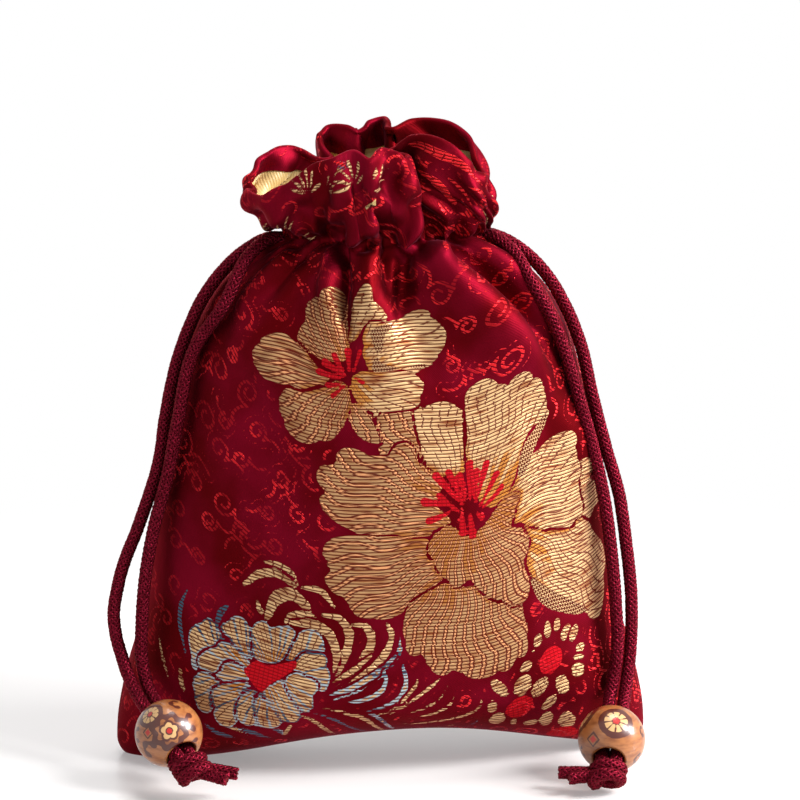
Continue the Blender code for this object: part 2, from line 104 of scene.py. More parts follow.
def along(points: Array) -> Array:
    """Running length at each point of a polyline."""
    steps = np.linalg.norm(np.diff(points, axis=0), axis=1)
    return np.concatenate([[0.0], np.cumsum(steps)])


def resample(points: Array, spacing: float) -> Array:
    """A smooth curve through points, read at about one spacing.

    Args:
        points: The points it passes through.
        spacing: The distance between the points read.

    Returns:
        The points read, both ends included.
    """
    points = np.asarray(points, float)
    lengths = along(points)
    rows = tuple((length, *point) for length, point in zip(lengths, points))
    count = max(2, round(lengths[-1] / spacing))
    dense = smooth_line(rows, np.linspace(0.0, lengths[-1], count * 3 + 1))
    lengths = along(dense)
    read = np.linspace(0.0, lengths[-1], count + 1)
    return np.stack([np.interp(read, lengths, dense[:, k]) for k in range(3)], axis=1)


def closed_curve(points: Rows, steps: int = 4) -> Array:
    """A smooth closed outline through the given corners.

    Args:
        points: Corners of the outline.
        steps: Points made from one corner to the next.

    Returns:
        The outline's points.
    """
    corners = np.array(points, float)
    before, after = np.roll(corners, 1, axis=0), np.roll(corners, -1, axis=0)
    beyond = np.roll(corners, -2, axis=0)
    made = []
    for k in range(steps):
        t = k / steps
        made.append(0.5 * (2 * corners + (after - before) * t
                           + (2 * before - 5 * corners + 4 * after - beyond) * t ** 2
                           + (3 * corners - before - 3 * after + beyond) * t ** 3))
    return np.stack(made, axis=1).reshape(-1, 2)


def nearby(points: Array, s: Array, v: Array, reach: float) -> tuple[Array, Array]:
    """Which places lie within reach of the box round some points, and those places."""
    low, high = points.min(axis=0) - reach, points.max(axis=0) + reach
    near = (s > low[0]) & (s < high[0]) & (v > low[1]) & (v < high[1])
    return near, np.stack([s[near], v[near]], axis=1)


def outline_depth(outline: Array, s: Array, v: Array, reach: float = 2.0) -> Array:
    """How deep points lie inside a closed outline, negative outside.

    Args:
        outline: The outline's points.
        s: Places across the cloth.
        v: Places up the cloth.
        reach: How far outside the outline the depth is worked out.

    Returns:
        The depth at each place, in millimetres.
    """
    depth = np.full(s.shape, -9.0)
    near, place = nearby(outline, s, v, reach)
    best = np.full(len(place), 1e9)
    inside = np.zeros(len(place), bool)
    for a, b in zip(outline, np.roll(outline, -1, axis=0)):
        run = b - a
        t = np.clip(((place - a) @ run) / max(run @ run, 1e-12), 0.0, 1.0)
        best = np.minimum(best, np.linalg.norm(place - a - t[:, None] * run, axis=1))
        crosses = (a[1] > place[:, 1]) != (b[1] > place[:, 1])
        if crosses.any():
            cut = a[0] + (place[:, 1] - a[1]) * run[0] / (run[1] if run[1] else 1e-12)
            inside ^= crosses & (place[:, 0] < cut)
    depth[near] = np.where(inside, best, -best)
    return depth


def line_distance(points: Array, s: Array, v: Array, reach: float) -> tuple[Array, Array, Array]:
    """Distance from a polyline, with the share and the length run along it.

    Args:
        points: The polyline's points.
        s: Places across the cloth.
        v: Places up the cloth.
        reach: How far from the line the distance is worked out.

    Returns:
        The distance, the share of the line's length and that length, at each place.
    """
    distance = np.full(s.shape, 99.0)
    share = np.zeros(s.shape)
    near, place = nearby(points, s, v, reach)
    lengths = along(points)
    best = np.full(len(place), 99.0)
    at = np.zeros(len(place))
    for k, (a, b) in enumerate(zip(points, points[1:])):
        run = b - a
        t = np.clip(((place - a) @ run) / max(run @ run, 1e-12), 0.0, 1.0)
        gap = np.linalg.norm(place - a - t[:, None] * run, axis=1)
        closer = gap < best
        best = np.where(closer, gap, best)
        at = np.where(closer, lengths[k] + t * (lengths[k + 1] - lengths[k]), at)
    distance[near] = best
    share[near] = at / lengths[-1]
    return distance, share, share * lengths[-1]


# Meshes


def link(thing: Thing) -> Thing:
    """Put an object into the scene."""
    bpy.context.scene.collection.objects.link(thing)
    return thing


def grid_mesh(name: str, points: Array, wrap: bool = False) -> Thing:
    """A smooth mesh from a grid of points in millimetres.

    Args:
        name: The object's name.
        points: Rows and columns of points.
        wrap: Whether the last column joins the first.

    Returns:
        The object, its faces turned to the side where rows rise and columns run right.
    """
    rows, columns = points.shape[:2]
    index = np.arange(rows * columns).reshape(rows, columns)
    if wrap:
        index = np.concatenate([index, index[:, :1]], axis=1)
    quads = np.stack([index[:-1, :-1], index[:-1, 1:], index[1:, 1:], index[1:, :-1]],
                     axis=-1).reshape(-1, 4)
    mesh = bpy.data.meshes.new(name)
    mesh.from_pydata(points.reshape(-1, 3) * MM, [], quads)
    mesh.shade_smooth()
    return link(bpy.data.objects.new(name, mesh))


def give_values(thing: Thing, name: str, values: Array) -> None:
    """Store one number per vertex under a name."""
    attribute = thing.data.attributes.new(name, "FLOAT", "POINT")
    attribute.data.foreach_set("value", values.ravel().astype(np.float32))


def give_uv(thing: Thing, across: Array, up: Array) -> None:
    """Store a place on the cloth, in millimetres, as the mesh's UV map."""
    corner = np.zeros(len(thing.data.loops), np.int32)
    thing.data.loops.foreach_get("vertex_index", corner)
    flat = np.stack([across.ravel()[corner], up.ravel()[corner]], axis=1)
    layer = thing.data.uv_layers.new(name="cloth")
    layer.data.foreach_set("uv", flat.ravel().astype(np.float32))


def normals_of(points: Array) -> Array:
    """Unit normals of a grid of points."""
    across, up = np.gradient(points, axis=1), np.gradient(points, axis=0)
    normal = np.cross(across, up)
    return normal / np.maximum(np.linalg.norm(normal, axis=-1, keepdims=True), 1e-9)


# Form of the cloth


@dataclass(frozen=True)
class ClothForm:
    """The pouch's outer surface, as the row's solids have it, and its finer folds."""

    base_width: float = 130.8
    belly_depth: float = 60.0
    neck_height: float = 129.5
    neck_width: float = 41.0
    neck_depth: float = 32.0
    base_rounding: float = 21.0
    corner_rounding: float = 5.5
    base_arch: float = 9.0
    arch_half_span: float = 70.0
    arch_middle: float = 7.0
    floor_flat: float = 1.4
    base_roundness: float = 2.6
    pinch: float = 1.2
    gather_from: float = 0.75
    frill_shift: float = -3.5
    side_line: Rows = (
        (0, 1), (0.085, 0.989), (0.162, 0.943), (0.278, 0.848), (0.409, 0.793), (0.583, 0.733),
        (0.726, 0.628), (0.842, 0.518), (0.927, 0.344), (0.973, 0.165), (1, 0))
    depth_line: Rows = (
        (0, 0.52), (0.12, 0.86), (0.3, 1), (0.5, 0.98), (0.68, 0.88), (0.82, 0.7), (0.92, 0.42),
        (0.973, 0.17), (1, 0))
    folds: Rows = (
        (-76, -72, 0.72, 1, 9), (-62, -58, 0.66, -1.6, 8), (-47, -43, 0.60, 1.1, 9),
        (-31, -24, 0.52, -2.4, 9), (-12, 2, 0.50, 1.4, 11), (8, 12, 0.60, -2.3, 7.5),
        (26, 50, 0.40, 2, 10), (44, 62, 0.58, -2.2, 8), (64, 74, 0.62, 1.3, 10),
        (103, 100, 0.66, -1.4, 8), (119, 112, 0.60, 1.2, 9), (135, 124, 0.52, -2.2, 9),
        (152, 146, 0.50, 1.6, 10), (170, 168, 0.56, -2.2, 8), (188, 192, 0.48, 1.6, 10),
        (206, 212, 0.56, -2.3, 8), (224, 234, 0.52, 1.4, 10), (242, 252, 0.62, -1.5, 8))
    mouth: Rows = (
        (-90, -90, 29.5, 142, 1.8), (-74, -76, 30, 141, 1.5), (-59, -58, 30.5, 141, 1.2),
        (-46, -46, 27, 145, 0.8), (-35, -37, 23.5, 148.5, 1), (-20, -22, 24, 150.5, 1.8),
        (-12, -12, 21.5, 152, 1.6), (-4, -2, 24, 150.5, 2.4), (6, 8, 21, 152.5, 1.4),
        (14, 20, 22.5, 151, 1.8), (21, 28, 19.5, 150, 1), (27, 32, 11.5, 150.5, 0),
        (34, 36, 15, 153.5, 0.4), (42, 41, 21.5, 154.5, 1.5), (50, 48, 26.5, 153, 2.2),
        (60, 57, 30, 148, 1.8), (74, 74, 30.5, 139.5, 1), (90, 90, 30, 137, 1.2),
        (103, 101, 30, 146, 2.4), (117, 114, 29, 151.5, 2.6), (130, 126, 25, 154, 1.6),
        (140, 141, 20, 154, 1), (147, 150, 14, 152.5, 0), (155, 156, 17.5, 153.5, 0.6),
        (164, 164, 21.5, 154, 1.4), (174, 176, 19.5, 153, 1), (184, 184, 16.5, 151, 0.2),
        (194, 192, 18.5, 152, 0.8), (205, 205, 21.5, 152, 1.4), (216, 219, 18, 149.5, 0.8),
        (227, 228, 12.5, 146, 0), (238, 236, 19.5, 147.5, 1), (253, 251, 26.5, 147.5, 1.8),
        (270, 270, 29.5, 142, 1.8))

    def half_sizes(self, height: Array) -> tuple[Array, Array]:
        """Half width and half depth of the pouch at a height up to the neck."""
        share = height / self.neck_height
        side = smooth_line(self.side_line, share)[..., 0]
        deep = smooth_line(self.depth_line, share)[..., 0]
        corner = np.clip(1 - height / self.corner_rounding, 0.0, 1.0)
        width = (self.neck_width + (self.base_width - self.neck_width) * side) / 2
        depth = (self.neck_depth + (self.belly_depth - self.neck_depth) * deep) / 2
        return width - self.corner_rounding * (1 - np.sqrt(1 - corner ** 2)), depth

    def section(self, turn: Array, height: Array) -> tuple[Array, Array]:
        """A point of the folded cloth at a turn and a height, seen from above."""
        width, depth = self.half_sizes(height)
        angle = np.radians(turn)
        gathered = ease((height / self.neck_height - self.gather_from) / (1 - self.gather_from))
        pinch = self.pinch + (1.0 - self.pinch) * gathered
        out = np.zeros(np.broadcast(turn, height).shape)
        for at_neck, at_end, end, deep, spread in self.folds:
            grown = np.clip((height / self.neck_height - end) / (1 - end), 0.0, 1.0)
            centre = at_end + (at_neck - at_end) * grown
            out = out + deep * ease(grown) * np.exp(-((turn - centre) / spread) ** 2)
        cosine = np.cos(angle)
        x = (width + out) * np.sin(angle)
        return x, -np.sign(cosine) * depth * np.abs(cosine) ** pinch - out * cosine

    def surface(self, turn: Array, rise: Array) -> Array:
        """The outer face of the pouch.

        Args:
            turn: Degrees round the pouch from the front, -90 to 270.
            rise: 0 at the bottom seam, 1 at the base's top, 2 at the neck, 3 at the mouth.

        Returns:
            Points in millimetres.
        """
        sweep = np.clip(rise, 0.0, 1.0) * math.pi / 2
        above = self.base_rounding + np.clip(rise - 1, 0.0, 1.0) * (
            self.neck_height - self.base_rounding)
        inset = np.abs(np.sin(sweep)) ** (2 / self.base_roundness)
        lift = 1 - np.abs(np.cos(sweep)) ** (2 / self.base_roundness)
        across = self.half_sizes(self.base_rounding * lift)[0] * np.sin(np.radians(turn))
        arch = self.base_arch * np.cos(
            np.clip((across - self.arch_middle) / self.arch_half_span, -1, 1)
            * math.pi / 2) ** 2
        low = arch - self.floor_flat + (self.base_rounding + self.floor_flat - arch) * lift
        height = np.where(rise < 1, np.maximum(low, 0.0), above)
        x, y = self.section(turn, np.where(rise < 1, self.base_rounding * lift, above))
        points = np.stack([x, y * np.where(rise < 1, inset, 1.0), height], axis=-1)

        frill = np.clip(rise - 2, 0.0, 1.0)
        mouth = smooth_line(self.mouth, turn)
        neck_x, neck_y = self.section(turn, np.full(turn.shape, self.neck_height))
        start = np.hypot(neck_x, neck_y)
        start_turn = np.degrees(np.arctan2(neck_x, -neck_y))
        start_turn = np.where(start_turn < -90.0 - 1e-6, start_turn + 360.0, start_turn)
        start_turn = np.where((turn > 180) & (start_turn < 0), start_turn + 360.0, start_turn)
        end_turn, reach, top, bulge = (mouth[..., k] for k in range(4))
        tall = top - self.neck_height
        outs = (start, start + 0.35 * (reach - start), reach + 2.0 * bulge, reach - 0.5 * bulge)
        ups = tuple(self.neck_height + share * tall for share in (0.0, 0.12, 0.5, 1.0))
        rest = 1 - frill
        shares = (rest ** 3, 3 * rest ** 2 * frill, 3 * rest * frill ** 2, frill ** 3)
        out = sum(share * value for share, value in zip(shares, outs))
        up = sum(share * value for share, value in zip(shares, ups))
        angle = np.radians(start_turn + (end_turn - start_turn) * ease(frill))
        shift = self.frill_shift * ease(frill)
        ruffle = np.stack([shift + out * np.sin(angle), -out * np.cos(angle), up], axis=-1)
        return np.where((rise > 2)[..., None], ruffle, points)


@dataclass(frozen=True)
class Gathers:
    """The fine pleats round the neck and the creases that run down the front.

    A crease is its depth at the start, its half width and its line in (across, up).
    Ridges are positive.
    """

    pleats: int = 46
    seed: int = 7
    deep: float = 1.25
    creases: tuple[tuple[float, float, Rows], ...] = (
        (-4.6, 1.7, ((-11.5, 128), (-10.6, 121), (-10.8, 113), (-9, 102))),
        (2.6, 2.6, ((-16, 127), (-15.5, 119), (-15.5, 108))),
        (2, 2.2, ((-5.6, 128), (-5, 120), (-3, 108))),
        (-2, 1.8, ((0.6, 128), (1, 120), (1.6, 112))),
        (-3, 2, ((5.6, 127), (5, 120), (3.2, 106))),
        (5.2, 5.4, ((9, 128), (22, 112), (36, 94), (54, 64))),
        (-4.4, 2.7, ((16, 127), (25, 117), (36, 104), (47, 90))),
        (2.4, 3, ((22, 127), (33, 117), (44, 102), (50, 92))),
        (-2.6, 2.6, ((-21, 126), (-28, 115), (-37, 101))),
        (2, 3.4, ((-26, 124), (-34, 112), (-43, 96))),
        (1.6, 4.5, ((-30, 98), (-22, 88), (-16, 74))),
        (-1.6, 5, ((-38, 92), (-31, 80), (-27, 62))),
        (1.8, 5, ((58, 60), (50, 72), (40, 84))),
        (-1.4, 5, ((-50, 30), (-34, 40), (-18, 60))),
        (-3.4, 1.8, ((-14, 130), (-16, 137), (-19, 146))),
        (2.6, 2, ((-6, 130.5), (-8, 138), (-10, 148))),
        (-2.6, 1.6, ((1, 130.5), (1, 138), (-1, 147))),
        (3.4, 1.7, ((6.4, 130), (11, 138), (12.6, 148))),
        (-3, 1.8, ((11, 130), (16, 137), (18, 146))),
        (2.2, 2, ((17, 130.5), (23, 138), (28, 148))),
    )

    def push(self, form: ClothForm, turn: Array, rise: Array, s: Array,
             v: Array, front: bool) -> Array:
        """How far the fine folds stand out of the surface.

        Args:
            form: The cloth's form.
            turn: Degrees round the pouch.
            rise: Rise of each point.
            s: Place across the panel.
            v: Place up the panel.
            front: Whether it is the front panel.

        Returns:
            Millimetres along the outward normal.
        """
        rng = np.random.default_rng(self.seed)
        below = np.maximum(form.neck_height - v, 0.0)
        above = np.maximum(v - form.neck_height, 0.0)
        total = np.zeros(s.shape)
        at = np.linspace(-90.0, 270.0, self.pleats, endpoint=False)
        at = at + rng.uniform(-3.0, 3.0, self.pleats)
        for k, middle in enumerate(at):
            size = self.deep * rng.uniform(0.5, 1.15) * (1 if k % 2 else -1)
            wide = rng.uniform(2.6, 4.2)
            down, up = rng.uniform(9.0, 30.0), rng.uniform(7.0, 17.0)
            lean = rng.uniform(-0.12, 0.12)
            fade = ease(1 - below / down) * ease(1 - above / up)
            gap = (turn - middle - lean * below + 180.0) % 360.0 - 180.0
            total += size * fade * np.exp(-(gap / (wide * (1 + below / 26.0))) ** 2)
        for k in range(5):
            wave, tilt = rng.uniform(0.05, 0.16), rng.uniform(-0.09, 0.09)
            total += 0.16 * np.sin(s * wave + v * tilt + rng.uniform(0, 6.3)) * (
                np.clip(rise, 0, 1)) * ease(1 - above / 4)
        total += self.crumple(s, v, below) * np.clip(rise, 0, 1)
        seam = 1 - np.exp(-((np.abs(np.abs(turn - (0 if front else 180)) - 90.0)) / 2.5) ** 2)
        if front:
            for deep, half, line in self.creases:
                gap, share, _ = line_distance(through(line, 24), s, v, half * 4)
                fade = ease(share / 0.10 + 0.25) * ease((1 - share) / 0.6)
                total += deep * fade * np.exp(-(gap / half) ** 2)
        return total * seam

    def crumple(self, s: Array, v: Array, below: Array) -> Array:
        """Small soft wrinkles that fan from the neck and fade towards the base."""
        rng = np.random.default_rng(self.seed + 1)
        fan = s / (1.0 + below / 60.0)
        total = np.zeros(s.shape)
        for k in range(7):
            wave, rise = rng.uniform(0.28, 0.75), rng.uniform(0.02, 0.12)
            total += np.sin(fan * wave + v * rise * (1 if k % 2 else -1) + rng.uniform(0, 6.3))
        patch = 0.5 + 0.5 * np.sin(s * 0.07 + 1.3) * np.sin(v * 0.055 + 0.4)
        wave = np.sin(s * 0.62 + 1.7 * np.sin(v * 0.31)) + np.sin(s * 0.37 - v * 0.46 + 2.0)
        frill = np.maximum(v - 130.5, 0.0)
        return (0.17 * total * patch * np.exp(-below / 60.0) * ease(1 - frill / 5.0)
                + 0.80 * wave * ease(frill / 4.0) * ease((24.5 - frill) / 6.0))


# Figure of the brocade


class Thread(Enum):
    """The wefts that float to make a motif."""

    STITCHED = -1.0
    GOLD = 0.0
    BLUE_GOLD = 1.0
    BLUE = 2.0
    RED = 3.0


Strips = tuple[tuple[Thread, float, tuple[float, ...]], ...]


@dataclass
class Figure:
    """The woven figure over one panel, as fields of millimetres at each point of cloth.

    edge is the depth inside the nearest motif, with a gap where one petal lies over the
    next. rib counts the binding lines that fan along a petal. tone rises to 1 at a root.
    """

    s: Array
    v: Array
    growth: float = 0.60
    lobe_width: float = 4.6
    lobe_depth: float = 1.3
    outside: float = -9.0
    depths: tuple[str, ...] = ("edge", "red", "net", "scroll")
    counts: tuple[str, ...] = ("rib", "tone", "blue")

    def __post_init__(self) -> None:
        """Start with bare ground."""
        for name in self.depths:
            setattr(self, name, np.full(self.s.shape, self.outside))
        for name in self.counts:
            setattr(self, name, np.zeros(self.s.shape))

    def lay(self, depth: Array, rib: Array, tone: Array, thread: Thread) -> None:
        """Lay one motif over what is there.

        Args:
            depth: Depth inside the motif.
            rib: Its count of binding lines.
            tone: Its shade towards the root.
            thread: Its weft.
        """
        inside = depth > 0
        under = np.where(self.edge > 0, np.minimum(self.edge, np.abs(depth)),
                         np.maximum(self.edge, depth))
        near = inside | ((depth > -1.0) & (self.edge < 0))
        self.edge = np.where(inside, depth, under)
        self.rib = np.where(near, rib, self.rib)
        self.tone = np.where(near, tone, self.tone)
        self.blue = np.where(near, thread.value, self.blue)

    def petal(self, points: Rows, thread: Thread, spacing: float) -> None:
        """Lay a petal, its root first, whose binding lines fan out from the root."""
        root, curve = points[0], closed_curve(points[1:])
        depth = outline_depth(curve, self.s, self.v) + self.growth
        run_s, run_v = self.s - root[0], self.v - root[1]
        distance = np.hypot(run_s, run_v)
        far = float(np.hypot(curve[:, 0] - root[0], curve[:, 1] - root[1]).max())
        middle = curve.mean(axis=0) - np.array(root)
        angle = np.arctan2(run_s * middle[1] - run_v * middle[0],
                           run_s * middle[0] + run_v * middle[1])
        lobe = np.abs(np.sin(angle * far / self.lobe_width * 1.57 + root[0]))
        depth = depth + self.lobe_depth * (lobe ** 0.6 - 0.6) * np.clip(distance / far, 0, 1)
        bend = 0.10 * np.sin(distance * 0.42 + root[0])
        rib = (angle + bend * 0.3) * far * 0.72 / spacing
        self.lay(depth, rib, 1 - np.clip(distance / far, 0, 1), thread)

    def strip(self, thread: Thread, width: float, line: Rows) -> None:
        """Lay a slim curved petal that tapers to both ends."""
        points = through(line, 6 * len(line))
        gap, share, length = line_distance(points, self.s, self.v, width + 2)
        wide = width / 2 * np.sin(np.pi * np.clip(share * 0.86 + 0.10, 0, 1)) ** 0.55
        self.lay(wide - gap, length / 2.4 + gap * 0.2, 0.25 * share, thread)

    def leaf(self, row: tuple[float, ...]) -> None:
        """Lay a leaf of slim strokes: foot, heading and spread in degrees, length, count."""
        s0, v0, heading, spread, length, count = row
        for k in range(int(count)):
            share = k / (count - 1) - 0.5
            angle = math.radians(heading + spread * share)
            reach = length * (1 - 1.3 * share ** 2)
            way = np.array((math.sin(angle), math.cos(angle)))
            foot = np.array((s0, v0)) + way * length * 0.16
            points = np.stack([foot, foot + way * reach * 0.5, foot + way * reach])
            gap, along_it, run = line_distance(points, self.s, self.v, 2.0)
            self.lay(0.66 * np.sin(np.pi * np.clip(along_it * 0.9 + 0.08, 0, 1)) ** 0.5 - gap,
                     run / 2.0, np.zeros(gap.shape), Thread.GOLD)

    def oval(self, row: tuple[float, ...], to_red: bool = False) -> None:
        """Lay an oval: centre, half height, half width and lean in degrees."""
        lean = math.radians(row[4] if len(row) > 4 else 0.0)
        run_s, run_v = self.s - row[0], self.v - row[1]
        tall = run_s * math.sin(lean) + run_v * math.cos(lean)
        wide = run_s * math.cos(lean) - run_v * math.sin(lean)
        share = np.hypot(tall / row[2], wide / row[3])
        depth = np.clip((1 - share) * min(row[2], row[3]), self.outside, -self.outside)
        if to_red:
            self.red = np.maximum(self.red, depth)
        else:
            self.lay(depth, tall / 1.5, np.zeros(share.shape), Thread.GOLD)

    def fill(self, name: str, outline: Rows) -> None:
        """Add the inside of an outline to one field."""
        depth = outline_depth(closed_curve(outline), self.s, self.v)
        setattr(self, name, np.maximum(getattr(self, name), depth))

    def stamen(self, row: tuple[float, ...]) -> None:
        """Lay a red club from its foot to its rounded head."""
        points = np.array([row[0:2], row[2:4]], float)
        gap, share, _ = line_distance(points, self.s, self.v, row[4] + 2)
        self.red = np.maximum(self.red, row[4] * (0.35 + 0.65 * share) - gap)

    def scrolls(self, rows: Rows) -> None:
        """Draw the fine dotted scrolls of the ground, each a curl of an even line."""
        for s0, v0, radius, start, turns in rows:
            t = np.linspace(0.0, 1.0, 26)
            angle = math.radians(start) + turns * 2 * math.pi * t
            size = radius * (1 - 0.72 * t)
            curl = np.stack([s0 + size * np.cos(angle), v0 + size * np.sin(angle)], axis=1)
            out = np.array((math.cos(angle[0]), math.sin(angle[0])))
            hub = np.array((s0, v0)) + out * radius * 2.15
            back = math.radians(start) + math.pi - np.sign(turns) * np.linspace(1.9, 0.0, 12)
            tail = hub + 1.15 * radius * np.stack([np.cos(back), np.sin(back)], axis=1)
            points = np.concatenate([tail[:-1], curl])
            gap, _, _ = line_distance(points, self.s, self.v, 2.4)
            self.scroll = np.maximum(self.scroll, 0.42 - gap)
            if turns > 0:
                self.scroll = np.maximum(self.scroll, 0.20 - np.abs(gap - 1.75))

    def store(self, thing: Thing) -> None:
        """Store the fields on the panel's mesh."""
        for name in self.depths + self.counts:
            give_values(thing, name, getattr(self, name))


class Sketch(Enum):
    """Enlarged parts of the picture: left, top and zoom. Points are listed inside them."""

    WHOLE = (0.0, 0.0, 1.0)
    BLOOM = (245.0, 255.0, 5.0)
    PEONY = (310.0, 365.0, 4.0)
    CHRYSANTHEMUM = (150.0, 540.0, 4.0)
    DAISIES = (440.0, 600.0, 5.0)

    def size(self, pixels: float, digits: int = 1) -> float:
        """A length in the sketch as millimetres of cloth."""
        return round(pixels / self.value[2] / PICTURE_SCALE, digits)


class Tracing:
    """Carries sketched points onto the front panel, to where the camera sees them."""

    edge_on: float = 0.02
    out_of_picture: float = 1e6

    def __init__(self, view: "View", panel: "Panel") -> None:
        """Find where each point of the panel shows in the picture."""
        _, points, normal, self.across, self.up = panel.outer()
        x, self.y = view.picture_place(points)
        seen = (normal @ view.axes()[2]) < self.edge_on
        self.x = np.where(seen, x, self.out_of_picture)
        self.found: dict[tuple[Sketch, float, float], tuple[float, float]] = {}

    def point(self, sketch: Sketch, x: float, y: float) -> tuple[float, float]:
        """Place one point, in tenths of a millimetre across and up the cloth."""
        if (sketch, x, y) not in self.found:
            left, top, zoom = sketch.value
            gap = (self.x - (left + x / zoom)) ** 2 + (self.y - (top + y / zoom)) ** 2
            at = np.unravel_index(np.argmin(gap), gap.shape)
            self.found[sketch, x, y] = tuple(
                round(float(place[at]), 1) for place in (self.across, self.up))
        return self.found[sketch, x, y]

    def line(self, sketch: Sketch, row: tuple[float, ...]) -> Rows:
        """Place a row of points, listed as x and y in turn."""
        return tuple(self.point(sketch, *point) for point in zip(row[::2], row[1::2]))

    def oval(self, sketch: Sketch, row: tuple[float, ...]) -> tuple[float, ...]:
        """Place an oval.

        Args:
            sketch: Where it is listed.
            row: Its centre, half height, half width and lean in degrees.

        Returns:
            The same, on the cloth.
        """
        x, y, tall, wide, lean = row
        turn = math.radians(lean)
        ends = [self.point(sketch, x + way * math.sin(turn), y - way * math.cos(turn))
                for way in (tall, -tall)]
        sides = [self.point(sketch, x + way * math.cos(turn), y + way * math.sin(turn))
                 for way in (wide, -wide)]
        axis = (np.array(ends[0]) - np.array(ends[1])) / 2
        reach = (np.array(sides[0]) - np.array(sides[1])) / 2
        length = float(np.linalg.norm(axis))
        cross = abs(axis[0] * reach[1] - axis[1] * reach[0]) / max(length, 0.1)
        middle = (np.array(ends[0]) + np.array(ends[1])) / 2
        return (round(middle[0], 1), round(middle[1], 1), round(max(length, 0.5), 1),
                round(max(cross, 0.5), 1), round(math.degrees(math.atan2(axis[0], axis[1])), 0))


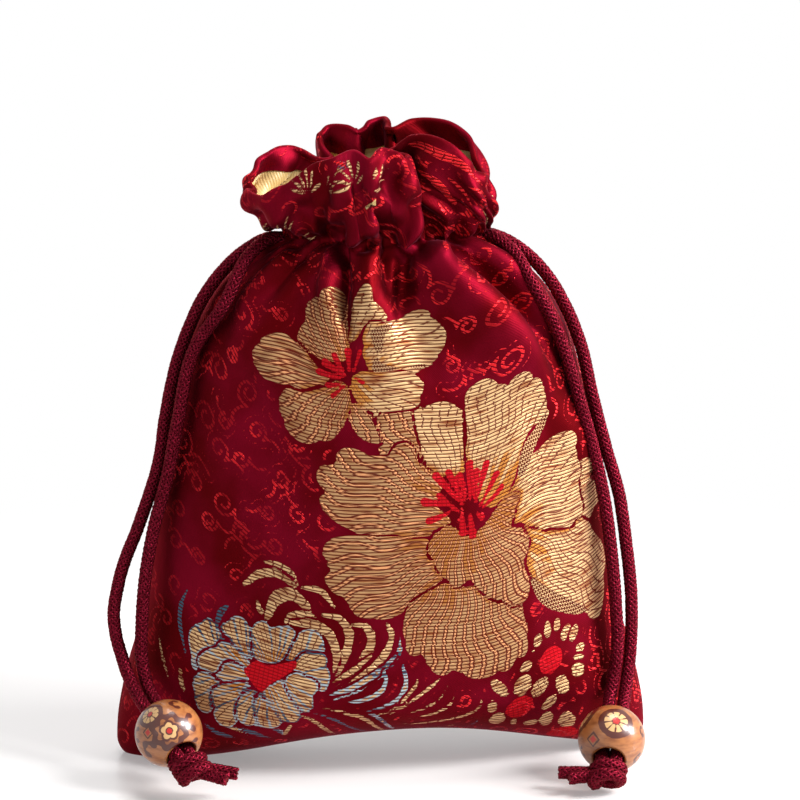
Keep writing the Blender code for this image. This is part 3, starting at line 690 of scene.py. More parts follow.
@dataclass(frozen=True)
class Motifs:
    """The flowers of the cloth: traditional peonies, a chrysanthemum and daisies.

    Apart from the leaves they are listed in sketches, each point as x and y in turn. A petal
    is its root and its outline, a strip its weft, width and line, an oval its centre, half
    height, half width and lean, and a stamen its foot, its head and its half width.
    """

    peony: Rows = (
        (700, 560, 1060, 400, 1110, 385, 1135, 410, 1120, 450, 1145, 490, 1150, 540, 1120, 600,
         1080, 600, 1040, 560, 1040, 450),
        (600, 560, 440, 200, 400, 165, 340, 170, 280, 200, 262, 235, 275, 300, 310, 370, 360, 330,
         430, 330, 470, 420, 500, 440, 450, 300),
        (600, 640, 430, 180, 480, 168, 560, 165, 615, 190, 620, 260, 640, 400, 600, 430, 500, 440,
         470, 380, 440, 260),
        (660, 640, 620, 140, 640, 100, 700, 68, 745, 70, 790, 95, 820, 60, 870, 42, 910, 60,
         925, 110, 950, 190, 900, 240, 860, 290, 820, 420, 790, 520, 700, 560, 640, 440, 625, 260),
        (660, 720, 800, 520, 850, 420, 920, 330, 980, 285, 1040, 278, 1065, 310, 1060, 380,
         1075, 440, 1070, 520, 1090, 590, 1050, 650, 960, 670, 860, 660, 780, 650, 760, 600),
        (700, 560, 830, 660, 940, 670, 1050, 650, 1080, 620, 1130, 660, 1165, 720, 1175, 800,
         1170, 900, 1155, 1000, 1130, 1010, 1080, 960, 980, 900, 900, 850, 860, 780),
        (720, 640, 520, 470, 430, 400, 400, 330, 360, 325, 310, 365, 240, 375, 205, 360, 150, 340,
         110, 365, 95, 400, 50, 420, 40, 460, 60, 500, 48, 540, 90, 600, 150, 650, 220, 690,
         330, 710, 480, 690, 560, 640, 500, 560),
        (700, 700, 560, 700, 430, 700, 330, 690, 200, 690, 110, 700, 65, 735, 62, 780, 90, 820,
         75, 860, 100, 910, 160, 950, 200, 1000, 260, 1015, 330, 1000, 400, 960, 450, 920, 520, 860,
         560, 800),
        (625, 640, 540, 880, 450, 930, 400, 970, 385, 1040, 382, 1110, 410, 1150, 455, 1150,
         480, 1210, 530, 1230, 575, 1205, 620, 1240, 680, 1245, 730, 1235, 790, 1215, 820, 1160,
         860, 1150, 870, 1080, 850, 1010, 830, 960, 760, 940, 700, 900, 620, 890),
        (620, 560, 500, 680, 480, 740, 520, 820, 580, 880, 640, 860, 700, 900, 760, 940, 830, 955,
         870, 910, 870, 840, 850, 780, 870, 700, 840, 650, 800, 640, 830, 520, 780, 540, 700, 640,
         640, 690, 560, 650),
    )
    bloom: Rows = (
        (510, 620, 270, 440, 300, 330, 330, 250, 380, 195, 440, 178, 475, 190, 500, 260, 500, 340,
         520, 420, 500, 520, 400, 520, 330, 480),
        (510, 640, 560, 230, 600, 160, 630, 170, 645, 230, 700, 320, 660, 345, 600, 350, 560, 400,
         530, 420, 540, 300),
        (470, 600, 620, 360, 700, 345, 780, 330, 860, 290, 910, 288, 945, 320, 985, 390, 990, 450,
         970, 500, 900, 550, 820, 580, 720, 580, 650, 590, 600, 520, 600, 430),
        (470, 560, 560, 600, 660, 600, 770, 595, 850, 620, 885, 670, 870, 730, 820, 760, 760, 770,
         690, 780, 640, 800, 600, 760, 540, 680),
        (480, 560, 500, 740, 560, 760, 620, 800, 650, 860, 680, 935, 630, 925, 570, 890, 530, 830,
         490, 800),
        (560, 560, 490, 640, 400, 640, 300, 650, 230, 670, 190, 710, 183, 780, 195, 840, 240, 890,
         310, 930, 370, 935, 430, 910, 480, 850, 510, 790, 520, 720),
        (560, 600, 360, 560, 280, 470, 240, 440, 200, 410, 130, 405, 75, 430, 50, 490, 65, 560,
         100, 620, 160, 640, 220, 640, 280, 660, 340, 650, 420, 620),
    )
    chrysanthemum: Rows = (
        (232, 672, 192, 662, 191, 640, 194, 628, 200, 622, 208, 621, 214, 626, 220, 628, 226, 636,
         222, 648, 212, 654, 205, 662, 198, 668),
        (250, 674, 222, 626, 228, 621, 236, 619, 243, 622, 250, 630, 252, 640, 252, 652, 250, 664,
         243, 662, 238, 650, 232, 640, 226, 634),
        (290, 676, 284, 656, 286, 644, 292, 636, 302, 632, 312, 634, 320, 640, 325, 652, 322, 660,
         312, 662, 302, 658, 298, 662, 292, 660),
        (272, 672, 254, 630, 260, 624, 266, 622, 272, 627, 284, 629, 293, 632, 290, 642, 286, 652,
         282, 658, 272, 662, 262, 660, 256, 656, 253, 644),
        (284, 678, 298, 662, 304, 656, 314, 656, 324, 658, 328, 668, 327, 680, 322, 690, 312, 684,
         304, 676, 296, 672),
        (256, 676, 200, 664, 206, 654, 214, 648, 222, 644, 232, 648, 240, 654, 248, 662, 250, 668,
         240, 664, 230, 668, 220, 676, 210, 680),
        (258, 680, 218, 682, 216, 676, 222, 668, 230, 664, 240, 668, 246, 674, 248, 682, 240, 684,
         230, 684),
        (232, 670, 194, 692, 196, 680, 202, 674, 212, 678, 220, 684, 217, 692, 214, 702, 208, 710,
         199, 706),
        (258, 684, 214, 704, 216, 692, 224, 686, 234, 684, 244, 684, 252, 690, 246, 694, 240, 700,
         238, 712, 232, 724, 222, 723, 215, 714),
        (262, 682, 239, 706, 242, 696, 250, 692, 256, 692, 262, 694, 256, 702, 256, 714, 262, 725,
         250, 725, 241, 718),
        (264, 680, 256, 706, 258, 696, 264, 694, 272, 702, 279, 712, 285, 720, 276, 726, 264, 725,
         258, 716),
        (262, 676, 264, 692, 276, 684, 284, 682, 290, 690, 298, 700, 299, 712, 294, 720, 284, 720,
         274, 708),
        (272, 670, 286, 680, 296, 674, 304, 678, 314, 684, 313, 696, 312, 706, 304, 709, 296, 700,
         290, 690),
    )
    high_strips: Strips = (
        (Thread.GOLD, 45, (375, 180, 430, 140, 500, 130, 560, 170, 600, 195)),
        (Thread.GOLD, 32, (455, 90, 520, 100, 570, 140, 598, 190)),
        (Thread.GOLD, 34, (430, 240, 440, 280, 480, 315)),
        (Thread.GOLD, 60, (470, 310, 500, 240, 560, 215, 620, 260, 650, 330)),
        (Thread.GOLD, 40, (540, 345, 570, 300, 640, 300, 690, 350)),
        (Thread.GOLD, 35, (610, 190, 680, 205, 745, 275)),
        (Thread.GOLD, 45, (690, 300, 755, 312, 795, 370, 785, 450, 735, 570)),
        (Thread.GOLD, 50, (570, 330, 650, 335, 710, 375, 745, 450, 735, 530)),
        (Thread.GOLD, 46, (815, 335, 870, 350, 885, 420, 830, 510, 740, 590)),
        (Thread.GOLD, 42, (950, 335, 965, 390, 930, 470, 840, 550, 730, 610)),
        (Thread.BLUE_GOLD, 34, (1000, 390, 990, 460, 930, 530, 830, 600, 720, 645)),
        (Thread.BLUE, 30, (150, 200, 125, 260, 120, 340, 150, 480)),
        (Thread.BLUE, 42, (310, 268, 282, 290, 268, 335)),
        (Thread.GOLD, 24, (35, 380, 45, 450, 75, 560)),
        (Thread.GOLD, 30, (120, 505, 125, 560, 140, 620)),
    )
    low_strips: Strips = (
        (Thread.BLUE, 8, (204, 724, 218, 733, 236, 738)),
        (Thread.BLUE, 9, (232, 728, 250, 732, 272, 738)),
        (Thread.BLUE, 8, (264, 727, 278, 730, 288, 737)),
        (Thread.GOLD, 6, (293, 722, 288, 730, 282, 737)),
        (Thread.GOLD, 6, (222, 725, 236, 729, 248, 736)),
        (Thread.GOLD, 8, (372, 655, 352, 671, 330, 684)),
        (Thread.BLUE_GOLD, 9, (396, 655, 379, 672, 353, 687, 328, 696)),
        (Thread.BLUE_GOLD, 8, (382, 669, 386, 680, 380, 692, 364, 700, 338, 704)),
        (Thread.BLUE_GOLD, 8, (402, 664, 406, 682, 399, 698, 384, 706, 368, 711)),
        (Thread.GOLD, 6, (419, 670, 416, 684, 406, 698, 392, 710, 376, 715)),
        (Thread.GOLD, 6, (445, 674, 432, 686, 416, 698, 400, 709, 386, 716)),
        (Thread.GOLD, 5, (448, 685, 441, 698, 426, 708, 406, 714)),
        (Thread.GOLD, 5, (455, 684, 454, 698, 445, 709, 426, 716, 404, 719)),
        (Thread.GOLD, 6, (482, 697, 478, 708, 464, 716, 440, 721, 414, 724, 394, 723)),
        (Thread.GOLD, 4, (458, 724, 440, 727, 418, 729, 402, 731)),
        (Thread.BLUE, 4, (481, 717, 475, 723, 464, 726)),
        (Thread.BLUE, 6, (312, 712, 335, 720, 356, 729, 376, 734)),
        (Thread.GOLD, 7, (324, 708, 346, 713, 368, 721, 390, 730)),
        (Thread.BLUE_GOLD, 7, (366, 712, 380, 719, 396, 729)),
        (Thread.GOLD, 8, (303, 716, 318, 724, 336, 734)),
    )
    dashes: Strips = (
        (Thread.RED, 13, (410, 145, 434, 151, 460, 164, 482, 184)),
        (Thread.RED, 11, (418, 170, 438, 184, 456, 206)),
        (Thread.RED, 8, (446, 176, 464, 192, 474, 210)),
        (Thread.RED, 7, (468, 186, 484, 196, 488, 206)),
        (Thread.RED, 6, (404, 150, 412, 168, 404, 190, 396, 206)),
        (Thread.RED, 7, (330, 160, 344, 164, 352, 172)),
    )
    daisy_petals: Rows = (
        (490, 205, 40, 26, 0), (537, 145, 52, 22, -4), (585, 120, 44, 20, 4),
         (628, 165, 56, 24, 24), (668, 165, 56, 24, 18), (702, 238, 34, 24, 40),
         (690, 285, 40, 22, 80), (690, 345, 44, 34, 20), (468, 262, 12, 22, 0),
         (430, 335, 40, 32, 10), (412, 425, 60, 44, 14), (300, 440, 62, 36, -50),
         (262, 530, 38, 30, 0), (285, 592, 34, 40, 30), (370, 605, 20, 22, 0),
         (500, 435, 66, 34, 44), (545, 510, 24, 58, -14), (455, 612, 18, 40, 20),
         (530, 592, 36, 40, 0), (635, 598, 42, 50, -30), (612, 425, 58, 38, -24),
    )
    discs: Rows = (
        (555, 300, 70, 58, 0), (395, 535, 50, 70, 0), (610, 658, 24, 80, 0),
    )
    peony_stamens: Rows = (
        (610, 560, 505, 445, 17), (615, 550, 555, 430, 15), (625, 540, 600, 440, 14),
         (640, 540, 638, 395, 17), (655, 545, 668, 425, 14), (665, 545, 705, 395, 16),
         (680, 560, 745, 435, 15), (690, 570, 765, 490, 14), (560, 560, 455, 548, 18),
         (560, 590, 480, 625, 15), (600, 590, 515, 520, 13), (605, 600, 612, 672, 18),
         (640, 600, 650, 680, 18), (665, 590, 690, 610, 12),
    )
    bloom_stamens: Rows = (
        (500, 600, 400, 535, 22), (500, 600, 445, 505, 20), (480, 620, 375, 585, 20),
         (490, 640, 415, 655, 18), (500, 650, 440, 705, 16), (520, 580, 515, 480, 22),
         (540, 590, 575, 480, 14), (550, 620, 590, 640, 14),
    )
    peony_nets: Rows = (
        (830, 440, 850, 330, 900, 250, 945, 190, 940, 240, 900, 330, 860, 430),
        (885, 850, 960, 895, 1080, 955, 1100, 990, 1000, 990, 940, 965, 900, 920),
    )
    bloom_net: Rows = (
        (650, 590, 650, 510, 690, 470, 700, 400, 740, 350, 700, 345, 630, 380, 640, 440, 680, 540,
         800, 560, 880, 570, 900, 540),
    )
    heart: Rows = (
        (375, 520, 420, 480, 470, 500, 520, 495, 580, 485, 585, 510, 540, 550, 490, 570, 450, 610,
         420, 590, 400, 560),
    )
    # Petals woven with stitched ribs; they lie to the left and below, and the brocade darkens them
    # with painted shade
    stitched_shaded: tuple[int, ...] = (1, 6, 7, 8, 9, 10, 14, 15, 16)
    leaves: Rows = (
        (-19.6, 145.2, -12, 110, 6.6, 6), (-15.6, 146.4, 62, 70, 5.6, 4),
        (-6.8, 145.4, -24, 120, 7, 6), (-2.4, 146.6, 62, 80, 6.6, 5),
        (-36.4, 135, 6, 110, 6.4, 5), (-27.8, 134.6, 0, 90, 7.2, 5),
        (-24, 132.4, 110, 60, 5, 3),
    )
    scroll_pitch: float = 8.8
    scroll_seed: int = 11
    back_drop: float = 14.0

    def curls(self) -> Rows:
        """Rows of scroll curls that cover a panel, in no regular order."""
        rng = np.random.default_rng(self.scroll_seed)
        rows = []
        for i in range(-9, 10):
            for j in range(-2, 19):
                s0 = (i + 0.5 * (j % 2) + rng.uniform(-0.25, 0.25)) * self.scroll_pitch
                v0 = (j + rng.uniform(-0.25, 0.25)) * self.scroll_pitch
                radius = rng.uniform(1.9, 3.6)
                way = 1.0 if rng.random() < 0.5 else -1.0
                rows.append((s0, v0, radius, rng.uniform(0, 360), way * rng.uniform(0.9, 1.5)))
        return tuple(rows)

    def draw_front(self, figure: Figure, tracing: Tracing) -> None:
        """Draw the front panel's figure."""
        figure.scrolls(self.curls())
        for row in self.daisy_petals:
            figure.oval(tracing.oval(Sketch.DAISIES, row))
        for sketch, strips in ((Sketch.CHRYSANTHEMUM, self.high_strips),
                               (Sketch.WHOLE, self.low_strips), (Sketch.WHOLE, self.dashes)):
            for thread, width, line in strips:
                figure.strip(thread, sketch.size(width), tracing.line(sketch, line))
        for row in self.leaves:
            figure.leaf(row)
        for row in self.chrysanthemum:
            figure.petal(tracing.line(Sketch.WHOLE, row), Thread.BLUE_GOLD, 1.25)
        petals = [tracing.line(Sketch.PEONY, row) for row in self.peony]
        petals += [tracing.line(Sketch.BLOOM, row) for row in self.bloom]
        for k, petal in enumerate(petals):
            kind = (Thread.STITCHED, 2.5) if k in self.stitched_shaded else (Thread.GOLD, 1.75)
            figure.petal(petal, *kind)
        for sketch, rows in ((Sketch.PEONY, self.peony_stamens),
                             (Sketch.BLOOM, self.bloom_stamens)):
            for x0, y0, x1, y1, half in rows:
                figure.stamen((*tracing.point(sketch, x0, y0), *tracing.point(sketch, x1, y1),
                               sketch.size(half, 2)))
        for row in self.discs:
            figure.oval(tracing.oval(Sketch.DAISIES, row), to_red=True)
        for field_name, sketch, outlines in (
                ("red", Sketch.CHRYSANTHEMUM, self.heart), ("net", Sketch.PEONY, self.peony_nets),
                ("net", Sketch.BLOOM, self.bloom_net)):
            for outline in outlines:
                figure.fill(field_name, tracing.line(sketch, outline))

    def draw_back(self, figure: Figure, tracing: Tracing) -> None:
        """Draw the back panel's figure: the same flowers, as the repeat would bring them."""
        whole = Figure(-figure.s, figure.v + self.back_drop)
        self.draw_front(whole, tracing)
        for name in figure.depths + figure.counts:
            setattr(figure, name, getattr(whole, name))


# Finishes


class Wiring:
    """Adds and joins the nodes of one material or shader group."""

    def __init__(self, tree: Tree) -> None:
        """Work on a node tree."""
        self.tree = tree

    def node(self, kind: str, **settings: object) -> Node:
        """Add a node with settings."""
        made = self.tree.nodes.new(kind)
        for name, value in settings.items():
            setattr(made, name, value)
        return made

    def put(self, value: object, socket: Socket) -> None:
        """Link an output to a socket, or set the socket's constant."""
        if isinstance(value, Socket):
            self.tree.links.new(value, socket)
        elif isinstance(value, tuple) and len(value) == 3 and socket.type == "RGBA":
            socket.default_value = (*value, 1.0)
        else:
            socket.default_value = value

    def math(self, operation: str, a: object, b: object = 0.0) -> Socket:
        """A Math node's output."""
        made = self.node("ShaderNodeMath", operation=operation)
        for value, socket in zip((a, b), made.inputs):
            self.put(value, socket)
        return made.outputs[0]

    def mul(self, a: object, b: object) -> Socket:
        """A product."""
        return self.math("MULTIPLY", a, b)

    def add(self, a: object, b: object) -> Socket:
        """A sum."""
        return self.math("ADD", a, b)

    def sub(self, a: object, b: object) -> Socket:
        """A difference."""
        return self.math("SUBTRACT", a, b)

    def div(self, a: object, b: object) -> Socket:
        """A quotient."""
        return self.math("DIVIDE", a, b)

    def most(self, a: object, b: object) -> Socket:
        """The greater of two."""
        return self.math("MAXIMUM", a, b)

    def inverse(self, mask: object) -> Socket:
        """A mask turned over."""
        return self.sub(1.0, mask)

    def parts(self, vector: object) -> bpy.types.bpy_prop_collection:
        """The three parts of a vector."""
        made = self.node("ShaderNodeSeparateXYZ")
        self.put(vector, made.inputs[0])
        return made.outputs

    def seen(self) -> Socket:
        """1 for rays of the camera, of reflections and of transmission."""
        path = self.node("ShaderNodeLightPath").outputs
        return self.most(path["Is Camera Ray"],
                         self.most(path["Is Glossy Ray"], path["Is Transmission Ray"]))

    def step(self, value: object, low: float, high: float) -> Socket:
        """A smooth mask: 0 below low and 1 above high."""
        made = self.node("ShaderNodeMapRange", interpolation_type="SMOOTHSTEP")
        self.put(value, made.inputs["Value"])
        made.inputs["From Min"].default_value = low
        made.inputs["From Max"].default_value = high
        return made.outputs["Result"]

    def mix(self, share: object, a: object, b: object, blend: str = "MIX") -> Socket:
        """A colour mix's output."""
        made = self.node("ShaderNodeMix", data_type="RGBA", blend_type=blend)
        self.put(share, made.inputs[0])
        self.put(a, made.inputs[6])
        self.put(b, made.inputs[7])
        return made.outputs[2]

    def field(self, name: str) -> Socket:
        """A number stored on the mesh."""
        return self.node("ShaderNodeAttribute", attribute_name=name).outputs["Fac"]

    def noise(self, place: object, scale: float, detail: float = 2.0) -> Socket:
        """A noise value."""
        made = self.node("ShaderNodeTexNoise")
        self.put(place, made.inputs["Vector"])
        made.inputs["Scale"].default_value = scale
        made.inputs["Detail"].default_value = detail
        return made.outputs["Fac"]

    def chance(self, value: object) -> Socket:
        """A number from -0.5 to 0.5 that is different for each value."""
        made = self.node("ShaderNodeTexWhiteNoise", noise_dimensions="1D")
        self.put(value, made.inputs["W"])
        return self.sub(made.outputs["Value"], 0.5)

    def scaled(self, place: object, by: Colour) -> Socket:
        """A vector with its parts multiplied."""
        made = self.node("ShaderNodeVectorMath", operation="MULTIPLY")
        self.put(place, made.inputs[0])
        made.inputs[1].default_value = by
        return made.outputs[0]

    def stripe(self, count: object) -> Socket:
        """1 at each whole number of a count and 0 half way between."""
        part = self.sub(self.math("FRACT", count), 0.5)
        return self.mul(self.math("ABSOLUTE", part), 2.0)

    def group(self, tree: Tree, **values: object) -> Node:
        """Place a shader group with its own values."""
        made = self.node("ShaderNodeGroup", node_tree=tree)
        for name, value in values.items():
            self.put(value, made.inputs[name.replace("_", " ")])
        return made

    def bump(self, height: object, strength: float, distance: float) -> Socket:
        """A normal from a height, its distance in millimetres."""
        made = self.node("ShaderNodeBump")
        made.inputs["Strength"].default_value = strength
        made.inputs["Distance"].default_value = distance * MM
        self.put(height, made.inputs["Height"])
        return made.outputs["Normal"]


def shader_group(name: str, inputs: dict[str, float],
                 outputs: tuple[str, ...]) -> tuple[Tree, Wiring]:
    """A shader node group with float inputs and outputs.

    Args:
        name: The group's name.
        inputs: Names of inputs and their first values; "Place" is a vector.
        outputs: Names of float outputs.

    Returns:
        The group's tree and a wiring for it, its ends named "in" and "out".
    """
    tree = bpy.data.node_groups.new(name, "ShaderNodeTree")
    tree.interface.new_socket("Place", in_out="INPUT", socket_type="NodeSocketVector")
    for key, value in inputs.items():
        made = tree.interface.new_socket(key, in_out="INPUT", socket_type="NodeSocketFloat")
        made.default_value = value
    for key in outputs:
        tree.interface.new_socket(key, in_out="OUTPUT", socket_type="NodeSocketFloat")
    wiring = Wiring(tree)
    wiring.node("NodeGroupInput", name="in")
    wiring.node("NodeGroupOutput", name="out")
    return tree, wiring


class Effects:
    """Shader groups shared by more than one finish."""

    def __init__(self) -> None:
        """Build the groups."""
        self.thread = self.build_thread()
        self.fibre = self.build_fibre()

    def build_thread(self) -> Tree:
        """Parallel threads across the cloth: the gaps between them and their sheen."""
        tree, wire = shader_group("weft_threads", {"Pitch": 0.8, "Waver": 0.2},
                                  ("Gap", "Round", "Glint", "Row"))
        given, out = tree.nodes["in"].outputs, tree.nodes["out"].inputs
        across, up, _ = wire.parts(given["Place"])
        waver = wire.noise(wire.scaled(given["Place"], (0.22, 0.5, 1.0)), 1.0, 3.0)
        shift = wire.mul(wire.sub(waver, 0.5), given["Waver"])
        count = wire.div(wire.add(up, shift), given["Pitch"])
        band = wire.stripe(count)
        number = wire.math("FLOOR", wire.add(count, 0.5))
        run = wire.node("ShaderNodeCombineXYZ")
        wire.put(wire.mul(across, 0.14), run.inputs[0])
        wire.put(wire.mul(number, 3.7), run.inputs[1])
        wire.put(wire.step(band, 0.50, 0.84), out["Gap"])
        wire.put(wire.sub(1.0, wire.mul(band, band)), out["Round"])
        wire.put(wire.step(wire.noise(run.outputs[0], 1.0, 1.0), 0.22, 0.60), out["Glint"])
        wire.put(number, out["Row"])
        return tree

    def build_fibre(self) -> Tree:
        """Fine uneven fibres, for cord, lining and wood grain."""
        tree, wire = shader_group("fine_fibre", {"Fineness": 1.0}, ("Light",))
        given = tree.nodes["in"].outputs
        stretch = wire.node("ShaderNodeVectorMath", operation="SCALE")
        wire.put(given["Place"], stretch.inputs[0])
        wire.put(given["Fineness"], stretch.inputs["Scale"])
        wire.put(wire.noise(stretch.outputs[0], 1.0, 4.0), tree.nodes["out"].inputs["Light"])
        return tree


def new_material(name: str) -> tuple[Material, Wiring, Node]:
    """A material with its wiring and its Principled shader."""
    material = bpy.data.materials.new(name)
    material.use_nodes = True
    return material, Wiring(material.node_tree), material.node_tree.nodes["Principled BSDF"]


def settle(shader: Node, **values: float | tuple[float, ...]) -> None:
    """Set constants on a shader's own sockets, their names written with underscores."""
    for name, value in values.items():
        shader.inputs[name.replace("_", " ")].default_value = value


def dress(thing: Thing, material: Material) -> None:
    """Give an object one material."""
    thing.data.materials.clear()
    thing.data.materials.append(material)


@dataclass(frozen=True)
class Brocade:
    """Crimson satin ground with floating wefts of gold, blue and red."""

    ground: Colour = (0.078, 0.0004, 0.0016)
    # bloom is a paler pink mixed into the ground in random patches: painted satin sheen
    bloom: Colour = (0.150, 0.0018, 0.0110)
    shade: Colour = (0.060, 0.0010, 0.0020)
    scroll: Colour = (0.60, 0.016, 0.020)
    gold: Colour = (0.27, 0.100, 0.032)
    pale: Colour = (0.66, 0.430, 0.210)
    amber: Colour = (0.46, 0.165, 0.014)
    copper: Colour = (0.66, 0.30, 0.130)
    between: Colour = (0.085, 0.0016, 0.0030)
    blue: Colour = (0.040, 0.095, 0.140)
    ice: Colour = (0.34, 0.43, 0.47)
    scarlet: Colour = (0.46, 0.006, 0.012)
    thread_pitch: float = 0.84
    waver: float = 0.16
    rim: float = 0.24
    ragged: float = 0.30
    jitter: float = 0.26
    dash_pitch: float = 1.05
    dot_pitch: float = 0.80
    warp_pitch: float = 1.10
    twill_pitch: float = 0.62
    metallic: float = 0.86
    roughness: float = 0.45

    def wefts(self, wire: Wiring, uv: Socket, threads: Node, edge: Socket) -> tuple[Socket, Socket]:
        """Colour the floating wefts.

        Args:
            wire: The material's wiring.
            uv: Place on the cloth.
            threads: The placed thread group.
            edge: Depth inside the nearest motif.

        Returns:
            Their colour, and a mask of the dark gaps and ribs between them.
        """
        row = threads.outputs["Row"]
        rib, tone, kind = wire.field("rib"), wire.field("tone"), wire.field("blue")
        nearest = wire.math("FLOOR", wire.add(rib, 0.5))
        jitter = wire.mul(wire.chance(wire.add(row, 0.5)), self.jitter)
        band = wire.stripe(wire.add(rib, jitter))
        kept = wire.step(wire.chance(wire.add(wire.mul(row, 1.37), wire.mul(nearest, 5.1))),
                         -0.26, -0.22)
        rib_line = wire.mul(wire.step(band, 0.74, 0.90), kept)

        gold = wire.mix(threads.outputs["Glint"], self.gold, self.pale)
        warm = wire.noise(wire.scaled(uv, (0.30, 0.9, 1.0)), 0.8, 2.0)
        streak = wire.chance(wire.math("FLOOR", rib))
        root = wire.add(wire.mul(tone, 1.05), wire.add(wire.mul(streak, 0.34),
                                                       wire.mul(warm, 0.36)))
        seam = wire.mul(wire.step(wire.sub(2.0, edge), 0.6, 1.4),
                        wire.step(wire.add(tone, wire.mul(warm, 0.5)), 0.58, 0.80))
        amber = wire.most(wire.step(root, 0.72, 0.86), seam)
        gold = wire.mix(wire.mul(amber, 0.85), gold, self.amber)

        red = wire.step(kind, 2.4, 2.6)
        all_blue = wire.mul(wire.step(kind, 1.4, 1.6), wire.inverse(red))
        half_blue = wire.mul(wire.step(kind, 0.4, 0.6), wire.inverse(red))
        stitched_shaded = wire.inverse(wire.step(kind, -0.6, -0.4))
        some_ribs = wire.mul(wire.step(band, 0.52, 0.66),
                             wire.step(wire.chance(nearest), -0.30, -0.24))
        outline = wire.mul(half_blue, wire.most(wire.inverse(wire.step(edge, 0.56, 0.68)),
                                                some_ribs))
        stitch = wire.mul(stitched_shaded, wire.step(band, 0.76, 0.86))
        beside = wire.sub(wire.mul(stitched_shaded, wire.step(band, 0.50, 0.58)), stitch)
        dark = wire.most(wire.mul(rib_line, wire.inverse(wire.most(outline, stitched_shaded))), beside)
        ends = wire.most(wire.mul(threads.outputs["Gap"], 0.92), wire.mul(dark, 0.90))
        blues = wire.mix(wire.step(wire.chance(wire.mul(row, 1.7)), -0.30, 0.0), self.blue,
                         self.ice)
        # Painted shade: the stitched petals, to the left and below, are mixed half-way back to the
        # darker gold.
        for share, colour in ((wire.mul(stitched_shaded, 0.52), self.gold), (stitch, self.copper),
                              (outline, blues), (all_blue, self.blue), (red, self.scroll)):
            gold = wire.mix(share, gold, colour)
        return gold, ends

    def scrolls(self, wire: Wiring, uv: Socket, edge: Socket) -> Socket:
        """A mask of the dashed scrolls, faint in patches, dimmed towards negative across by painted
        shade, and gone beside the motifs.
        """
        across, up, _ = wire.parts(uv)
        dash = wire.stripe(wire.div(wire.add(up, wire.mul(across, 0.6)), self.dash_pitch))
        # Painted shade: the threshold rises towards negative across, so the scrolls fade on that
        # side.
        faint_and_shaded = wire.step(wire.add(wire.noise(uv, 0.11, 1.0), wire.mul(across, 0.0016)),
                          0.38, 0.62)
        scroll = wire.mul(wire.step(wire.field("scroll"), 0.0, 0.12),
                          wire.step(dash, 0.22, 0.42))
        scroll = wire.mul(scroll, wire.inverse(wire.step(edge, -1.5, -0.9)))
        return wire.mul(scroll, wire.add(0.26, wire.mul(faint_and_shaded, 0.74)))

    def build(self, effects: Effects) -> Material:
        """Make the material.

        Args:
            effects: The shared shader groups.

        Returns:
            The brocade, which reads the panel's UV map and stored fields.
        """
        material, wire, shader = new_material("brocade")
        uv = wire.node("ShaderNodeUVMap", uv_map="cloth").outputs[0]
        across, up, _ = wire.parts(uv)
        threads = wire.group(effects.thread, Place=uv, Pitch=self.thread_pitch,
                             Waver=self.waver)
        gap, row = threads.outputs["Gap"], threads.outputs["Row"]
        ragged = wire.mul(wire.chance(row), self.ragged)
        edge = wire.add(wire.field("edge"), ragged)
        motif = wire.step(edge, self.rim, self.rim + 0.10)
        wefts, ends = self.wefts(wire, uv, threads, edge)
        scroll = self.scrolls(wire, uv, edge)
        # Painted sheen: random noise patches turn the ground to the paler pink bloom colour.
        ground = wire.mix(wire.step(wire.noise(uv, 0.045, 3.0), 0.35, 0.7), self.ground,
                          self.bloom)
        ground = wire.mix(scroll, ground, self.scroll)
        colour = wire.mix(motif, ground, wire.mix(ends, wefts, self.between))
        dots = wire.mul(wire.step(wire.stripe(wire.add(
            wire.div(across, self.dot_pitch), wire.mul(row, 0.5))), 0.30, 0.60),
            wire.inverse(gap))
        netted = wire.mix(wire.mul(dots, 0.75), self.shade, self.pale)
        colour = wire.mix(wire.step(wire.field("net"), 0.0, 0.15), colour, netted)
        reds = wire.step(wire.add(wire.field("red"), ragged), 0.0, 0.10)
        warp = wire.step(wire.stripe(wire.div(across, self.warp_pitch)), 0.7, 0.9)
        dimmed = wire.mix(wire.most(wire.mul(gap, 0.6), wire.mul(warp, 0.45)), self.scarlet,
                          self.shade)
        wire.put(wire.mix(reds, colour, dimmed), shader.inputs["Base Color"])

        woven = wire.most(wire.mul(motif, wire.inverse(ends)), scroll)
        wire.put(wire.sub(self.metallic, wire.mul(woven, 0.34)), shader.inputs["Metallic"])
        grain = wire.mul(wire.noise(uv, 1.6, 3.0), 0.14)
        wire.put(wire.add(grain, wire.sub(self.roughness, wire.mul(woven, 0.16))),
                 shader.inputs["Roughness"])
        settle(shader, Specular_IOR_Level=0.20, Specular_Tint=(1.0, 0.32, 0.40, 1.0),
               Sheen_Weight=0.10, Sheen_Roughness=0.35, Sheen_Tint=(1.0, 0.20, 0.35, 1.0))
        twill = wire.stripe(wire.div(wire.add(up, across), self.twill_pitch))
        crumpled = wire.add(0.7, wire.mul(wire.step(up, 80.0, 135.0), 1.6))
        ripple = wire.mul(wire.noise(wire.scaled(uv, (1.0, 0.55, 1.0)), 0.17, 3.0), crumpled)
        fine = wire.mul(wire.add(twill, wire.noise(uv, 2.4, 2.0)), 0.11)
        floats = wire.mul(woven, wire.add(0.55, wire.mul(threads.outputs["Round"], 0.6)))
        relief = wire.add(wire.add(ripple, fine), floats)
        wire.put(wire.bump(relief, 0.85, 0.18), shader.inputs["Normal"])
        return material


